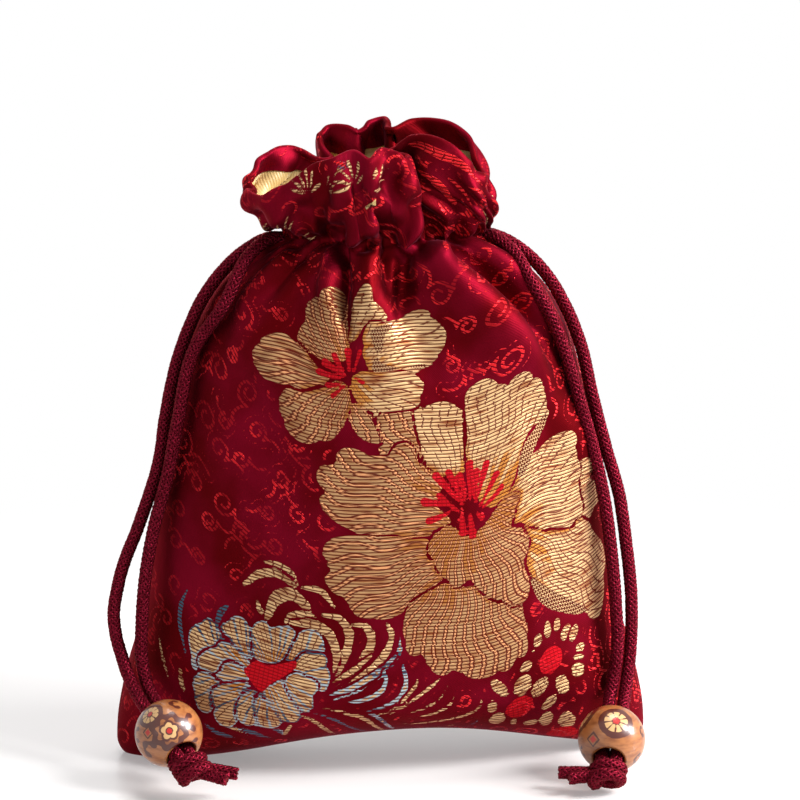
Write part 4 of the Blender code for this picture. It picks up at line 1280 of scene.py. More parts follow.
@dataclass(frozen=True)
class Satin:
    """Cream twill satin of the lining."""

    cream: Colour = (0.66, 0.47, 0.19)
    deep: Colour = (0.40, 0.25, 0.075)
    rib_pitch: float = 0.55

    def build(self, effects: Effects) -> Material:
        """Make the material, which reads the lining's UV map."""
        material, wire, shader = new_material("lining_satin")
        uv = wire.node("ShaderNodeUVMap", uv_map="cloth").outputs[0]
        across, up, _ = wire.parts(uv)
        rib = wire.stripe(wire.div(wire.sub(wire.mul(up, 0.6), across), self.rib_pitch))
        fibre = wire.group(effects.fibre, Place=uv, Fineness=0.6)
        share = wire.mul(wire.add(rib, fibre.outputs["Light"]), 0.5)
        wire.put(wire.mix(share, self.cream, self.deep), shader.inputs["Base Color"])
        settle(shader, Roughness=0.42, Sheen_Weight=0.15)
        wire.put(wire.bump(rib, 0.7, 0.08), shader.inputs["Normal"])
        return material


@dataclass(frozen=True)
class BraidFinish:
    """Burgundy satin yarn of the cords and knots."""

    burgundy: Colour = (0.060, 0.0015, 0.0050)
    bright: Colour = (0.200, 0.0080, 0.0240)

    def build(self, effects: Effects) -> Material:
        """Make the material, which reads Object coordinates."""
        material, wire, shader = new_material("braided_cord")
        place = wire.node("ShaderNodeTexCoord").outputs["Object"]
        fibre = wire.group(effects.fibre, Place=place, Fineness=2600.0)
        wire.put(wire.mix(wire.step(fibre.outputs["Light"], 0.42, 0.66), self.burgundy,
                          self.bright), shader.inputs["Base Color"])
        settle(shader, Roughness=0.38, Metallic=0.70, Specular_IOR_Level=0.15,
               Specular_Tint=(1.0, 0.30, 0.36, 1.0), Sheen_Weight=0.02,
               Sheen_Tint=(1.0, 0.35, 0.45, 1.0))
        wire.put(wire.bump(fibre.outputs["Light"], 0.7, 0.12), shader.inputs["Normal"])
        return material


@dataclass(frozen=True)
class PrintedWood:
    """Varnished pale wood with brown, cream and red print, read from stored fields."""

    pale: Colour = (0.38, 0.140, 0.040)
    warm: Colour = (0.22, 0.062, 0.015)
    brown: Colour = (0.060, 0.006, 0.004)
    cream: Colour = (0.66, 0.40, 0.17)
    red: Colour = (0.46, 0.012, 0.010)

    def build(self, effects: Effects) -> Material:
        """Make the material."""
        material, wire, shader = new_material("printed_wood")
        place = wire.node("ShaderNodeTexCoord").outputs["Object"]
        grain = wire.group(effects.fibre, Place=wire.scaled(place, (1.0, 1.0, 3.2)),
                           Fineness=330.0)
        colour = wire.mix(wire.step(grain.outputs["Light"], 0.35, 0.7), self.pale, self.warm)
        worn = wire.mul(wire.sub(grain.outputs["Light"], 0.5), 0.5)
        for name, ink in (("brown", self.brown), ("cream", self.cream), ("red", self.red)):
            mask = wire.step(wire.add(wire.field(name), worn), 0.0, 0.10)
            colour = wire.mix(wire.mul(mask, 0.94), colour, ink)
        wire.put(colour, shader.inputs["Base Color"])
        settle(shader, Roughness=0.34, Coat_Weight=0.30, Coat_Roughness=0.08)
        wire.put(wire.bump(grain.outputs["Light"], 0.25, 0.1), shader.inputs["Normal"])
        return material


# Cloth pieces


@dataclass
class Panel:
    """One brocade panel from the bottom seam to the hem of its turned-in facing."""

    form: ClothForm
    gathers: Gathers
    front: bool
    columns: int
    base_rows: int
    body_rows: int
    frill_rows: int
    facing_rows: int = 14
    facing_share: float = 0.19
    lip: float = 0.75
    lip_rows: int = 6
    frill_run: float = 22.0
    flat: tuple[float, float] = (0.137, 0.181)

    def turns(self) -> Array:
        """Turns of the columns, seam to seam."""
        spread = np.linspace(-90.0, 90.0, self.columns + 1)
        return spread if self.front else spread + 180.0

    def places(self, points: Array, rises: Array) -> tuple[Array, Array]:
        """Places across and up the cloth, from the panel's middle and from the ground."""
        steps = np.linalg.norm(np.diff(points, axis=1), axis=-1)
        across = np.concatenate([np.zeros((len(rises), 1)), np.cumsum(steps, axis=1)], axis=1)
        middle = points.shape[1] // 2
        across -= across[:, middle:middle + 1]
        steps = np.linalg.norm(np.diff(points, axis=0), axis=-1)
        up = np.concatenate([np.zeros((1, points.shape[1])), np.cumsum(steps, axis=0)], axis=0)
        neck = int(np.argmin(np.abs(rises - 2.0)))
        return across, up - up[neck:neck + 1] + self.form.neck_height

    def outer(self) -> tuple[Array, Array, Array, Array, Array]:
        """The folded outer face.

        Returns:
            Rises of the rows, points, normals, and places across and up the cloth.
        """
        rises = np.concatenate([np.linspace(0, 1, self.base_rows, endpoint=False),
                                np.linspace(1, 2, self.body_rows, endpoint=False),
                                np.linspace(2, 3, self.frill_rows + 1)])
        rise, turn = np.meshgrid(rises, self.turns(), indexing="ij")
        points = self.form.surface(turn, rise)
        across, up = self.places(points, rises)
        normal = normals_of(points)
        push = self.gathers.push(self.form, turn, rise, across, up, self.front)
        push = push * ease(rise * 3)
        points = points + normal * push[..., None]
        return rises, points, normals_of(points), across, up

    def build(self, material: Material, motifs: Motifs, tracing: Tracing) -> Thing:
        """Make the panel with its figure.

        Args:
            material: The brocade.
            motifs: The flowers.
            tracing: Carries the flowers onto the cloth.

        Returns:
            The panel.
        """
        rises, points, normal, across, up = self.outer()
        name = "brocade_front" if self.front else "brocade_back"
        top, top_normal = points[-1], normal[-1]
        rise_way = points[-1] - points[-3]
        rise_way /= np.linalg.norm(rise_way, axis=1, keepdims=True)
        rows, run = [], []
        for k in range(1, self.lip_rows + 1):
            angle = math.pi * k / self.lip_rows
            rows.append(top - top_normal * self.lip * (1 - math.cos(angle))
                        + rise_way * self.lip * math.sin(angle))
            run.append(self.lip * angle)
        hem = self.frill_rows * self.facing_share
        for k in range(1, self.facing_rows + 1):
            back = hem * k / self.facing_rows
            low = int(math.floor(back))
            part = back - low
            row = points[-1 - low] * (1 - part) + points[-2 - low] * part
            turned = normal[-1 - low] * (1 - part) + normal[-2 - low] * part
            depth = 2 * self.lip - 0.45 * float(ease(np.array(k / self.facing_rows)))
            rows.append(row - turned * depth)
            run.append(self.lip * math.pi
                       + self.frill_run * self.facing_share * k / self.facing_rows)
        points = np.concatenate([points, np.array(rows)])
        extra = np.array(run)[:, None]
        across = np.concatenate([across, np.repeat(across[-1:], len(run), axis=0)])
        up = np.concatenate([up, up[-1:] + extra])
        points[:, 0, 1] = points[:, -1, 1] = 0.0
        points[:, :, 2] = np.maximum(points[:, :, 2], 0.0)
        thing = grid_mesh(name, points)
        belly = int(np.argmin(np.abs(rises - 1.2)))
        give_uv(thing, np.repeat(across[belly:belly + 1], len(points), axis=0), up)
        figure = Figure(across, up)
        draw = motifs.draw_front if self.front else motifs.draw_back
        draw(figure, tracing)
        figure.store(thing)
        dress(thing, material)
        return thing


@dataclass
class Lining:
    """One lining panel: from the facing's hem down through the neck to the base."""

    panel: Panel
    depth: float = 1.35
    ring: tuple[float, float] = (13.0, 8.6)
    hold: float = 7.0
    drop: float = 1.7
    top_rise: float = 2.83

    def build(self, material: Material) -> Thing:
        """Make the lining."""
        form = self.panel.form
        turns = self.panel.turns()[::2]
        rises = np.concatenate([np.linspace(0.06, 1.0, 10, endpoint=False),
                                np.linspace(1.0, 2.0, 80, endpoint=False),
                                np.linspace(2.0, self.top_rise, 26)])
        rise, turn = np.meshgrid(rises, turns, indexing="ij")
        points = form.surface(turn, rise)
        across, above = self.panel.places(points, rises)
        push = self.panel.gathers.push(form, turn, rise, across, above, self.panel.front)
        points = points + normals_of(points) * (push * ease(rise * 3))[..., None]
        normal = normals_of(points)
        up = np.where(rise > 2, form.neck_height + (rise - 2) * self.panel.frill_run,
                      points[..., 2])
        level = form.neck_height - self.drop
        run = up - level
        held = (1 - ease((np.abs(run) - 3.0) / self.hold))[..., None]
        pleat = 0.75 * np.sin(np.radians(turn) * 22 + 1.2 * np.sin(np.radians(turn) * 5))
        pleat = pleat * np.exp(-np.abs(run) / 9.0)
        angle = np.radians(turn)
        wide, deep = self.ring[0] + pleat, self.ring[1] + pleat
        ring = np.stack([wide * np.sin(angle), -deep * np.cos(angle),
                         level + run * 1.1], axis=-1)
        depth = 0.7 + (self.depth - 0.6) * ease((self.top_rise - rise) / 0.12)
        placed = points - normal * (depth - pleat * 0.2)[..., None]
        points = placed + (ring - placed) * held
        points[:, 0, 1] = points[:, -1, 1] = 0.0
        thing = grid_mesh("lining_satin_front" if self.panel.front else "lining_satin_back",
                          points[::-1])
        give_uv(thing, across[::-1], above[::-1])
        dress(thing, material)
        return thing


# Cords, knots and beads


def sweep_tree() -> Tree:
    """A Geometry Nodes tree that sweeps a round yarn along every line of a mesh."""
    tree = bpy.data.node_groups.new("yarn_along_lines", "GeometryNodeTree")
    tree.interface.new_socket("Lines", in_out="INPUT", socket_type="NodeSocketGeometry")
    for name, kind, first in (("Yarn radius", "NodeSocketFloat", 0.0004),
                              ("Sides", "NodeSocketInt", 6)):
        made = tree.interface.new_socket(name, in_out="INPUT", socket_type=kind)
        made.default_value = first
    tree.interface.new_socket("Finish", in_out="INPUT", socket_type="NodeSocketMaterial")
    tree.interface.new_socket("Yarn", in_out="OUTPUT", socket_type="NodeSocketGeometry")
    wire = Wiring(tree)
    ends = wire.node("NodeGroupInput"), wire.node("NodeGroupOutput")
    to_curve = wire.node("GeometryNodeMeshToCurve")
    profile = wire.node("GeometryNodeCurvePrimitiveCircle", mode="RADIUS")
    swept = wire.node("GeometryNodeCurveToMesh")
    smooth = wire.node("GeometryNodeSetShadeSmooth")
    real = wire.node("GeometryNodeRealizeInstances")
    finish = wire.node("GeometryNodeSetMaterial")
    for node, output, to_node, socket in (
            (ends[0], "Lines", to_curve, "Mesh"), (ends[0], "Yarn radius", profile, "Radius"),
            (ends[0], "Sides", profile, "Resolution"), (to_curve, "Curve", swept, "Curve"),
            (profile, "Curve", swept, "Profile Curve"), (swept, "Mesh", smooth, "Geometry"),
            (smooth, "Geometry", real, "Geometry"), (real, "Geometry", finish, "Geometry"),
            (ends[0], "Finish", finish, "Material"), (finish, "Geometry", ends[1], "Yarn")):
        wire.put(node.outputs[output], to_node.inputs[socket])
    swept.inputs["Fill Caps"].default_value = True
    return tree


def sweep_lines(tree: Tree, lines: list[Array], radius: float, sides: int,
                finish: Material) -> bpy.types.Mesh:
    """Sweep a round yarn along polylines in millimetres.

    Args:
        tree: The sweeping tree.
        lines: The polylines.
        radius: Yarn radius in millimetres.
        sides: Sides of the yarn's section.
        finish: The yarn's material.

    Returns:
        A plain mesh.
    """
    points, edges = [], []
    for line in lines:
        start = len(points)
        points.extend(tuple(point * MM) for point in line)
        edges.extend((start + k, start + k + 1) for k in range(len(line) - 1))
    data = bpy.data.meshes.new("lines")
    data.from_pydata(points, edges, [])
    thing = link(bpy.data.objects.new("lines", data))
    modifier = thing.modifiers.new("yarn", "NODES")
    modifier.node_group = tree
    values = {"Yarn radius": radius * MM, "Sides": sides, "Finish": finish}
    for item in tree.interface.items_tree:
        if item.item_type == "SOCKET" and item.name in values:
            modifier[item.identifier] = values[item.name]
    graph = bpy.context.evaluated_depsgraph_get()
    graph.update()
    mesh = bpy.data.meshes.new_from_object(thing.evaluated_get(graph))
    bpy.data.objects.remove(thing)
    return mesh


def frames_along(points: Array) -> tuple[Array, Array]:
    """Two directions across a polyline that turn with it and don't twist.

    Args:
        points: The polyline.

    Returns:
        The first and the second direction at each point.
    """
    tangent = np.gradient(points, axis=0)
    tangent /= np.maximum(np.linalg.norm(tangent, axis=1, keepdims=True), 1e-9)
    first = np.zeros_like(points)
    guess = np.cross(tangent[0], (0.3, 0.5, 0.8))
    for k, way in enumerate(tangent):
        guess = guess - way * (guess @ way)
        guess /= max(np.linalg.norm(guess), 1e-9)
        first[k] = guess
    return first, np.cross(tangent, first)


@dataclass(frozen=True)
class Braid:
    """Round braid over a core: seven yarns turn each way, sizes in millimetres."""

    diameter: float = 3.2
    core: float = 1.22
    yarn: float = 0.36
    yarns: int = 7
    lay: float = 9.0
    step: float = 0.5
    weave: float = 0.07
    core_sides: int = 8
    yarn_sides: int = 5

    def lines(self, path: Array) -> list[Array]:
        """The yarns' middle lines, half of them turning each way, over and under."""
        points = resample(path, self.step)
        first, second = frames_along(points)
        length = along(points)
        made = []
        ring = self.diameter / 2 - self.yarn
        for way in (1, -1):
            for k in range(self.yarns):
                angle = way * (2 * math.pi * length / self.lay) + 2 * math.pi * k / self.yarns
                weave = self.weave * way * np.cos(self.yarns * 2 * math.pi * length / self.lay
                                                  + k * math.pi)
                size = (ring + weave)[:, None]
                made.append(points + size * (np.cos(angle)[:, None] * first
                                             + np.sin(angle)[:, None] * second))
        return made

    def build(self, name: str, paths: list[Array], tree: Tree, finish: Material) -> Thing:
        """Make braided cord along paths.

        Args:
            name: The object's name.
            paths: Middle lines in millimetres.
            tree: The sweeping tree.
            finish: The yarn's material.

        Returns:
            One object with the core and its yarns.
        """
        cores = [resample(path, self.step * 1.6) for path in paths]
        yarns = [line for path in paths for line in self.lines(path)]
        mesh = bmesh.new()
        for part in (sweep_lines(tree, cores, self.core, self.core_sides, finish),
                     sweep_lines(tree, yarns, self.yarn, self.yarn_sides, finish)):
            mesh.from_mesh(part)
            bpy.data.meshes.remove(part)
        data = bpy.data.meshes.new(name)
        mesh.to_mesh(data)
        mesh.free()
        data.shade_smooth()
        thing = link(bpy.data.objects.new(name, data))
        dress(thing, finish)
        return thing


class Side(Enum):
    """The two sides of the pouch, as seen from the front."""

    LEFT = "left"
    RIGHT = "right"


class Mark(Enum):
    """The prints on a bead."""

    WHEEL = "wheel"
    DIAMOND = "diamond"
    FLOWER = "flower"
    PATCH = "patch"


@dataclass(frozen=True)
class Tie:
    """One side's drawstring: routes, bead, bore and tails, in millimetres."""

    side: Side
    outer: Rows
    inner: Rows
    bead: tuple[float, float, float]
    bore: tuple[float, float, float]
    tails: Rows
    marks: tuple[tuple[Mark, tuple[float, float, float], float, float], ...]
    bead_diameter: float = 16.2
    bead_edge: float = 0.9
    cord: float = 3.2
    cord_gap: float = 0.35
    straight: float = 13.5
    knot_turn: tuple[float, float] = (40.0, 385.0)
    knot_radius: float = 3.05
    knot_rise: float = 2.4
    tail_stops: tuple[float, ...] = (3.6, 7.0, 10.4)

    def aim(self) -> Array:
        """The bore's direction towards the knot."""
        return np.array(self.bore) / np.linalg.norm(self.bore)

    def across(self) -> Array:
        """The level direction in which the two strands lie side by side."""
        across = np.cross(self.aim(), (0.0, 0.0, 1.0))
        return across / np.linalg.norm(across)

    def bore_radius(self) -> float:
        """The bore that lets both strands through."""
        return self.cord + self.cord_gap / 2 + 0.3

    def half_length(self) -> float:
        """Half of the bead's length along its bore."""
        return math.sqrt((self.bead_diameter / 2) ** 2
                         - (self.bore_radius() + self.bead_edge) ** 2)

    def strand(self, outer: bool) -> Array:
        """A strand's middle line from its eyelet to the knot."""
        side = (1.0 if self.side == Side.LEFT else -1.0) * (1.0 if outer else -1.0)
        offset = self.across() * (self.cord + self.cord_gap) / 2 * side
        stops = (-self.straight, -self.straight * 0.72, -self.straight * 0.4, 0.0,
                 self.half_length() + 1.2)
        end = [np.array(self.bead) + offset + self.aim() * stop for stop in stops]
        route = self.outer if outer else self.inner
        return resample(np.array([*route, *end]), 1.1)

    def knot_paths(self) -> list[Array]:
        """Middle lines of the two cords through the overhand knot and out as tails."""
        aim, across = self.aim(), self.across()
        depth = np.cross(aim, across)
        start = np.array(self.bead) + aim * (self.half_length() + 0.4)
        paths = []
        for k, tail in enumerate(self.tails):
            tail_way = np.array(tail) / np.linalg.norm(tail)
            shift = 1.65 * (k - 0.5)
            points = [start + across * shift * 2 - aim * 1.5,
                      start + across * shift * 1.6 + aim * 0.8]
            for share in np.linspace(0.0, 1.0, 13):
                angle = math.radians(self.knot_turn[0] + share * (
                    self.knot_turn[1] - self.knot_turn[0]))
                size = self.knot_radius + 0.25 * math.sin(math.pi * share)
                along_aim = 2.0 + self.knot_rise * share + 3.05 * k - 1.2 * math.sin(angle)
                points.append(start + aim * along_aim + size * (
                    math.cos(angle) * across + math.sin(angle) * depth))
            root = start + aim * 4.4
            points.append(root + across * shift * 0.6 + tail_way * 1.0)
            for reach in self.tail_stops:
                points.append(root + across * shift * 1.3 + tail_way * reach)
            path = resample(np.array(points), 0.6)
            path[:, 2] = np.maximum(path[:, 2], self.cord / 2 + 0.15)
            paths.append(path)
        return paths


@dataclass
class Bead:
    """A turned wooden bead with printed marks, made for one tie."""

    tie: Tie
    around: int = 168
    rows: int = 72
    lip_width: float = 0.9
    lip_height: float = 0.28
    spokes: int = 9

    def build(self, finish: Material, view: "View") -> Thing:
        """Make the bead with its print.

        Args:
            finish: The printed wood.
            view: The camera's placing, in whose directions the marks are listed.

        Returns:
            The bead.
        """
        tie = self.tie
        radius, hole, half = tie.bead_diameter / 2, tie.bore_radius(), tie.half_length()
        outline = []
        widest = math.asin(half / radius)
        for k in range(self.rows):
            angle = -widest + 2 * widest * k / (self.rows - 1)
            outline.append((radius * math.cos(angle), radius * math.sin(angle)))
        edge = tie.bead_edge
        for k in range(1, 7):
            turn = math.pi * k / 6
            outline.append((hole + edge * (0.5 + 0.5 * math.cos(turn)) * self.lip_width,
                            half + edge * self.lip_height * math.sin(turn)))
        for k in range(1, 9):
            outline.append((hole, half - 2 * half * k / 9))
        for k in range(1, 6):
            turn = math.pi * k / 6
            outline.append((hole + edge * (0.5 - 0.5 * math.cos(turn)) * self.lip_width,
                            -half - edge * self.lip_height * math.sin(turn)))
        outline.append(outline[0])
        profile = np.array(outline)
        aim, across = tie.aim(), tie.across()
        depth = np.cross(aim, across)
        turn = np.linspace(0, 2 * math.pi, self.around, endpoint=False)
        ring = np.cos(turn)[:, None] * across + np.sin(turn)[:, None] * depth
        points = (np.array(tie.bead) + profile[:, :1, None] * ring[None]
                  + profile[:, 1:2, None] * aim)
        thing = grid_mesh("printed_bead_" + tie.side.value, points, wrap=True)
        mesh = bmesh.new()
        mesh.from_mesh(thing.data)
        bmesh.ops.remove_doubles(mesh, verts=mesh.verts, dist=1e-6)
        bmesh.ops.recalc_face_normals(mesh, faces=mesh.faces)
        mesh.to_mesh(thing.data)
        mesh.free()
        place = np.empty(len(thing.data.vertices) * 3)
        thing.data.vertices.foreach_get("co", place)
        place = place.reshape(-1, 3) / MM - np.array(tie.bead)
        for name, depth_of in self.print_fields(place, view).items():
            give_values(thing, name, depth_of)
        dress(thing, finish)
        return thing

    def print_fields(self, place: Array, view: "View") -> dict[str, Array]:
        """Depth inside the brown, cream and red print at points of the bead."""
        way = place / np.maximum(np.linalg.norm(place, axis=1, keepdims=True), 1e-9)
        radius = self.tie.bead_diameter / 2
        fields = {name: np.full(len(place), -2.0) for name in ("brown", "cream", "red")}
        right, up, forward = view.axes()
        for kind, centre, size, spin in self.tie.marks:
            middle = centre[0] * right + centre[1] * up - centre[2] * forward
            middle = middle / np.linalg.norm(middle)
            first = np.cross(middle, up)
            first /= np.linalg.norm(first)
            second = np.cross(middle, first)
            x, y = radius * (way @ first), radius * (way @ second)
            far = np.where(way @ middle > 0.2, 0.0, -9.0)
            reach = np.hypot(x, y)
            turn = np.arctan2(y, x) + math.radians(spin)
            if kind is Mark.WHEEL:
                ring = 0.17 * size - np.abs(reach - 0.86 * size)
                spokes = np.abs(((turn * self.spokes / (2 * math.pi)) % 1) - 0.5)
                wedge = np.minimum(np.minimum(0.70 * size - reach, reach - 0.24 * size),
                                   (0.40 - spokes) * reach * 0.7 + 0.02)
                inks = (("brown", np.maximum(ring, 0.74 * size - reach)), ("cream", wedge),
                        ("red", 0.22 * size * (1 - 0.12 * np.cos(5 * turn)) - reach))
            elif kind is Mark.DIAMOND:
                square = np.abs(x) + np.abs(y)
                inks = (("brown", 0.17 * size - np.abs(square - 0.83 * size)),
                        ("red", 0.50 * size - square))
            elif kind is Mark.FLOWER:
                ring = 0.18 * size - np.abs(reach - 0.84 * size * (1 + 0.10 * np.cos(8 * turn)))
                petals = 0.47 * size * (0.72 + 0.28 * np.abs(np.cos(2.5 * turn))) - reach
                inks = (("brown", np.maximum(ring, 0.5 * (petals + 0.14 * size))),
                        ("cream", np.minimum(petals, reach - 0.2 * size)),
                        ("red", 0.16 * size - reach))
            else:
                arc = 0.24 * size * (1 + 0.3 * np.cos(4 * turn)) - np.abs(reach - 0.62 * size)
                inks = (("brown", np.minimum(arc, (np.cos(turn) + 0.55) * size)),)
            for name, depth in inks:
                fields[name] = np.maximum(fields[name], depth + far)
        return fields


@dataclass
class Ties:
    """Both drawstrings with their casing runs, knots and beads."""

    braid: Braid
    casing_level: float = 127.8
    ring: tuple[float, float] = (15.4, 10.9)
    eyelet_turn: float = 26.0
    ties: tuple[Tie, ...] = (
        Tie(Side.LEFT,
            ((-20.4, 2.2, 127.5), (-27, -0.8, 128.4), (-33.6, -3, 125.2),
             (-40.3, -4.7, 118.6), (-47.9, -4.7, 103.4), (-52.2, -5.2, 86),
             (-53.8, -7, 76), (-58.4, -7.5, 61.5), (-63.8, -8.4, 47),
             (-65.4, -9.8, 37), (-63.6, -11.6, 28)),
            ((-20.2, -1.9, 127.1), (-25.9, -3.6, 129), (-31.6, -8.4, 126),
             (-37.8, -11.7, 114.8), (-45.2, -8.9, 103), (-49.3, -10.3, 86),
             (-51.7, -10.7, 73.7), (-55.6, -10.8, 59), (-57.9, -11.6, 46),
             (-58.7, -12.6, 36), (-58.8, -13, 28)),
            (-52.6, -27.6, 13.7), (0.43, -0.76, -0.49),
            ((0.94, -0.16, -0.14), (0.90, -0.40, -0.16)),
            ((Mark.FLOWER, (0.08, 0.16, 0.96), 4.4, 10), (Mark.WHEEL, (-0.52, 0.62, 0.60), 3.3, 0),
             (Mark.DIAMOND, (-0.56, 0.10, 0.82), 1.7, 0), (Mark.PATCH, (0.72, 0.40, 0.59), 2.6, 0),
             (Mark.PATCH, (-0.50, -0.42, 0.78), 2.8, 40),
             (Mark.PATCH, (-0.90, 0, 0.45), 2.2, 0), (Mark.WHEEL, (0.2, 0.8, -0.56), 3.6, 0),
             (Mark.PATCH, (0.25, 0.90, 0.35), 2.2, 20), (Mark.FLOWER, (-0.75, 0.1, -0.65), 3.2, 0),
             (Mark.PATCH, (0.80, -0.30, 0.52), 2.2, 0))),
        Tie(Side.RIGHT,
            ((20.4, 2.2, 128.3), (26.8, -0.8, 128.6), (33.2, -3, 125.6),
             (38.3, -4.6, 120.9), (44.3, -4.3, 111.3), (48, -5.2, 101.8),
             (50.5, -5.4, 91), (54.4, -6.6, 76), (57.2, -8.2, 66),
             (58.8, -9.8, 55), (60.2, -11.8, 40), (60, -13, 28)),
            ((20.2, -2.1, 128), (25.4, -4.8, 129.2), (31, -9.2, 126),
             (35, -13, 119.2), (39.9, -12.6, 110.5), (43.8, -11.8, 100.5),
             (47, -11.4, 90), (50.5, -10.6, 78), (53.8, -10.2, 63),
             (55.2, -11.4, 52), (56.2, -13, 40), (56.6, -14.2, 28)),
            (53.6, -28.6, 10.2), (-0.20, -0.87, -0.45),
            ((-0.95, -0.16, -0.04), (-0.94, 0.20, -0.04)),
            ((Mark.WHEEL, (0.09, 0.60, 0.79), 4.1, 0), (Mark.DIAMOND, (-0.60, 0.06, 0.80), 2, 0),
             (Mark.WHEEL, (-0.80, 0.60, -0.06), 4.1, 0), (Mark.PATCH, (0.88, 0.26, 0.40), 1.6, 0),
             (Mark.PATCH, (-0.88, -0.34, 0.33), 1.5, 0), (Mark.PATCH, (0.74, -0.54, 0.40), 1.8, 0),
             (Mark.WHEEL, (0.3, 0.2, -0.93), 4, 0), (Mark.FLOWER, (0.9, 0.2, -0.4), 3, 0))),
    )

    def casing(self, tie: Tie) -> Array:
        """The run of one drawstring round the inside of the neck, eyelet to eyelet."""
        left = tie.side == Side.LEFT
        level = self.casing_level + (-1 if left else 1) * (tie.cord + tie.cord_gap) / 2
        first = (-90.0 if left else 90.0) + self.eyelet_turn
        angle = np.radians(first + np.linspace(0, 360.0 - 2 * self.eyelet_turn, 60))
        points = np.stack([self.ring[0] * np.sin(angle), -self.ring[1] * np.cos(angle),
                           np.full(60, level)], axis=1)
        ends = (tie.inner[0], tie.outer[0]) if left else (tie.outer[0], tie.inner[0])
        return np.concatenate([np.array(ends[:1], float), points, np.array(ends[1:], float)])

    def build(self, tree: Tree, finishes: dict[str, Material], view: "View") -> None:
        """Make both sides: casing runs, knots, beads and strands.

        Args:
            tree: The sweeping tree.
            finishes: Materials by name.
            view: The camera's placing.
        """
        for tie in self.ties:
            side = tie.side.value
            casing = self.braid.build("casing_cord_" + side, [self.casing(tie)], tree,
                                      finishes["cord"])
            knot = self.braid.build("overhand_knot_" + side, tie.knot_paths(), tree,
                                    finishes["cord"])
            bead = Bead(tie).build(finishes["wood"], view)
            for thing, body, node, slot in ((casing, ROOT, "drawstring_", "cord"),
                                            (knot, ROOT, "knot_", "cord"),
                                            (bead, "bead_" + side, "bead_", "bead")):
                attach(thing, body)
                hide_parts(node + side)
            for outer in (True, False):
                name = ("outer" if outer else "inner") + "_strand_" + side
                path = tie.strand(outer)
                strand = self.braid.build(name, [path], tree, finishes["cord"])
                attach(strand, ROOT)
            LOG.info("bead, knot and casing run, %s", side)


# Light, ground and camera


@dataclass(frozen=True)
class View:
    """The camera: where it stands and what it looks at, in degrees and millimetres."""

    azimuth: float = -4.0
    elevation: float = 13.0
    distance: float = 850.0
    target: tuple[float, float, float] = (4.6, 0.0, 88.0)
    focal_pixels: float = 3506.0
    picture: float = 800.0
    sensor: float = 36.0

    def axes(self) -> tuple[Array, Array, Array]:
        """Right, up and forward directions of the camera."""
        a, e = math.radians(self.azimuth), math.radians(self.elevation)
        forward = np.array([-math.sin(a) * math.cos(e), math.cos(a) * math.cos(e),
                            -math.sin(e)])
        right = np.array([math.cos(a), math.sin(a), 0.0])
        return right, np.cross(right, forward), forward

    def picture_place(self, points: Array) -> tuple[Array, Array]:
        """Where points in millimetres show in the picture, in pixels right and down."""
        right, up, forward = self.axes()
        run = points - (np.array(self.target) - self.distance * forward)
        far = run @ forward
        middle = self.picture / 2
        return (middle + self.focal_pixels * (run @ right) / far,
                middle - self.focal_pixels * (run @ up) / far)

    def build(self) -> None:
        """Set up the scene's camera."""
        forward = self.axes()[2]
        data = bpy.data.cameras.new("camera")
        data.sensor_width = self.sensor
        data.lens = self.focal_pixels * self.sensor / self.picture
        data.clip_start, data.clip_end = 0.01, 20.0
        camera = link(bpy.data.objects.new("camera", data))
        camera.location = (np.array(self.target) - self.distance * forward) * MM
        camera.rotation_euler = Vector(forward).to_track_quat("-Z", "Y").to_euler()
        bpy.context.scene.camera = camera


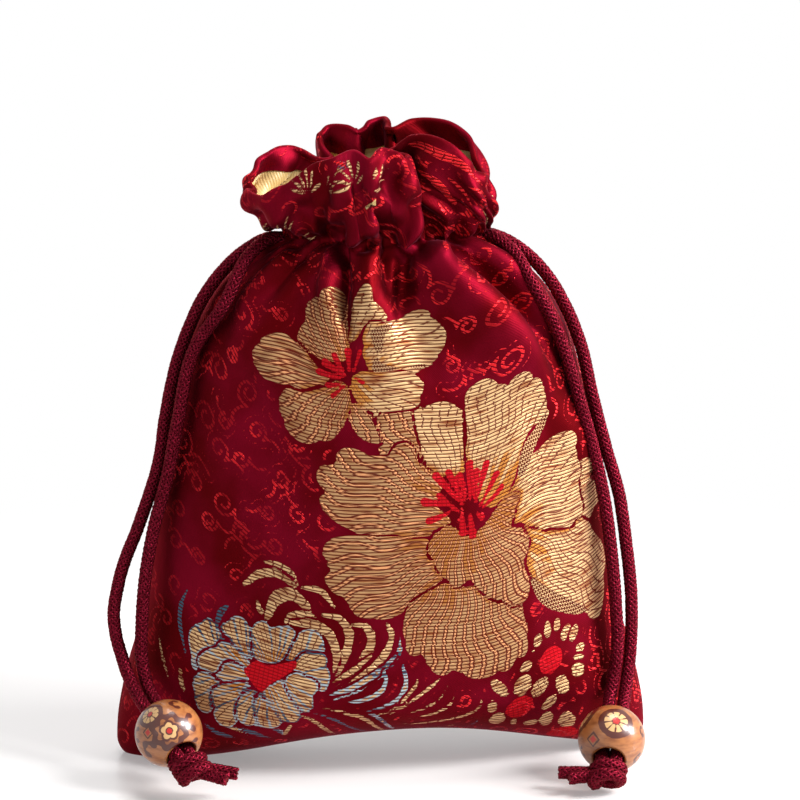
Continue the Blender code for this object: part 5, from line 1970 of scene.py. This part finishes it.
@dataclass(frozen=True)
class Studio:
    """A plain pale ground with soft lamps."""

    floor: Colour = (0.90, 0.865, 0.855)
    half_span: float = 1.6
    # Share of white glow the floor keeps next to the pouch: painted light that lifts the pouch's
    # shadow
    near_glow: float = 0.28
    fade: tuple[float, float] = (0.045, 0.26)
    world: float = 0.22
    aim: tuple[float, float, float] = (0.0, 0.0, 0.07)
    lamps: tuple[tuple[str, tuple[float, float, float], float, float], ...] = (
        ("key", (0.80, -0.42, 0.76), 0.34, 12.5),
        ("side", (1.05, -0.22, 0.52), 0.50, 19.0),
        ("fill", (-0.70, -0.80, 0.45), 0.50, 0.6),
        ("top", (0.10, 0.15, 1.10), 0.50, 5.0),
        ("back", (-0.10, 0.95, 0.70), 0.60, 2.0),
    )

    def build(self) -> None:
        """Make the ground, the lamps and the world."""
        mesh = bpy.data.meshes.new("floor")
        span = self.half_span
        mesh.from_pydata([(-span, -span, 0), (span, -span, 0), (span, span, 0),
                          (-span, span, 0)], [], [(0, 1, 2, 3)])
        floor = link(bpy.data.objects.new("floor", mesh))
        material, wire, shader = new_material("pale_floor")
        settle(shader, Base_Color=(*self.floor, 1.0), Roughness=0.30, Specular_IOR_Level=0.5)
        place = wire.node("ShaderNodeTexCoord").outputs["Object"]
        length = wire.node("ShaderNodeVectorMath", operation="LENGTH")
        wire.put(wire.scaled(place, (0.9, 1.0, 0.0)), length.inputs[0])
        # Painted light: close to the pouch the floor still glows white at this share, which
        # lightens the shadow there.
        fade = wire.add(self.near_glow, wire.mul(wire.step(length.outputs["Value"], *self.fade),
                                               1 - self.near_glow))
        glow = wire.node("ShaderNodeEmission")
        settle(glow, Color=(1.0, 1.0, 1.0, 1.0))
        blend = wire.node("ShaderNodeMixShader")
        wire.put(wire.mul(fade, wire.seen()), blend.inputs[0])
        wire.put(shader.outputs[0], blend.inputs[1])
        wire.put(glow.outputs[0], blend.inputs[2])
        out = material.node_tree.nodes["Material Output"]
        wire.put(blend.outputs[0], out.inputs["Surface"])
        dress(floor, material)
        for name, place_at, size, power in self.lamps:
            data = bpy.data.lights.new(name, "AREA")
            data.shape = "DISK"
            data.size = size
            data.energy = power
            lamp = link(bpy.data.objects.new(name, data))
            lamp.location = place_at
            lamp.rotation_euler = (Vector(self.aim) - Vector(place_at)).to_track_quat(
                "-Z", "Y").to_euler()
        world = bpy.data.worlds.new("studio")
        bpy.context.scene.world = world
        world.use_nodes = True
        wire = Wiring(world.node_tree)
        backdrop = world.node_tree.nodes["Background"]
        settle(backdrop, Color=(1.0, 1.0, 1.0, 1.0))
        wire.put(wire.add(self.world, wire.mul(wire.seen(), 1 - self.world)),
                 backdrop.inputs["Strength"])


def main() -> None:
    """Build the pouch, its ties and the studio."""
    logging.basicConfig(level=logging.INFO, format="%(name)s: %(message)s")
    bpy.context.scene.view_settings.view_transform = "Standard"
    view = View()
    effects = Effects()
    finishes = {
        "brocade": Brocade().build(effects),
        "satin": Satin().build(effects),
        "cord": BraidFinish().build(effects),
        "wood": PrintedWood().build(effects),
    }
    form, gathers, motifs = ClothForm(), Gathers(), Motifs()
    tracing = Tracing(view, Panel(form, gathers, front=True, columns=720, base_rows=90,
                                  body_rows=460, frill_rows=120))
    for panel in (Panel(form, gathers, front=True, columns=288, base_rows=44, body_rows=196,
                        frill_rows=54),
                  Panel(form, gathers, front=False, columns=200, base_rows=18, body_rows=120,
                        frill_rows=40)):
        cloth = panel.build(finishes["brocade"], motifs, tracing)
        node = "front_panel" if panel.front else "back_panel"
        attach(cloth, ROOT)
        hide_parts(node)
        LOG.info("%s, %d faces", cloth.name, len(cloth.data.polygons))
        lining = Lining(panel).build(finishes["satin"])
        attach(lining, ROOT)
        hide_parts("lining_front" if panel.front else "lining_back")
        LOG.info("%s, %d faces", lining.name, len(lining.data.polygons))
    Ties(Braid()).build(sweep_tree(), finishes, view)
    Studio().build()
    view.build()


if __name__ == "__main__":
    main()
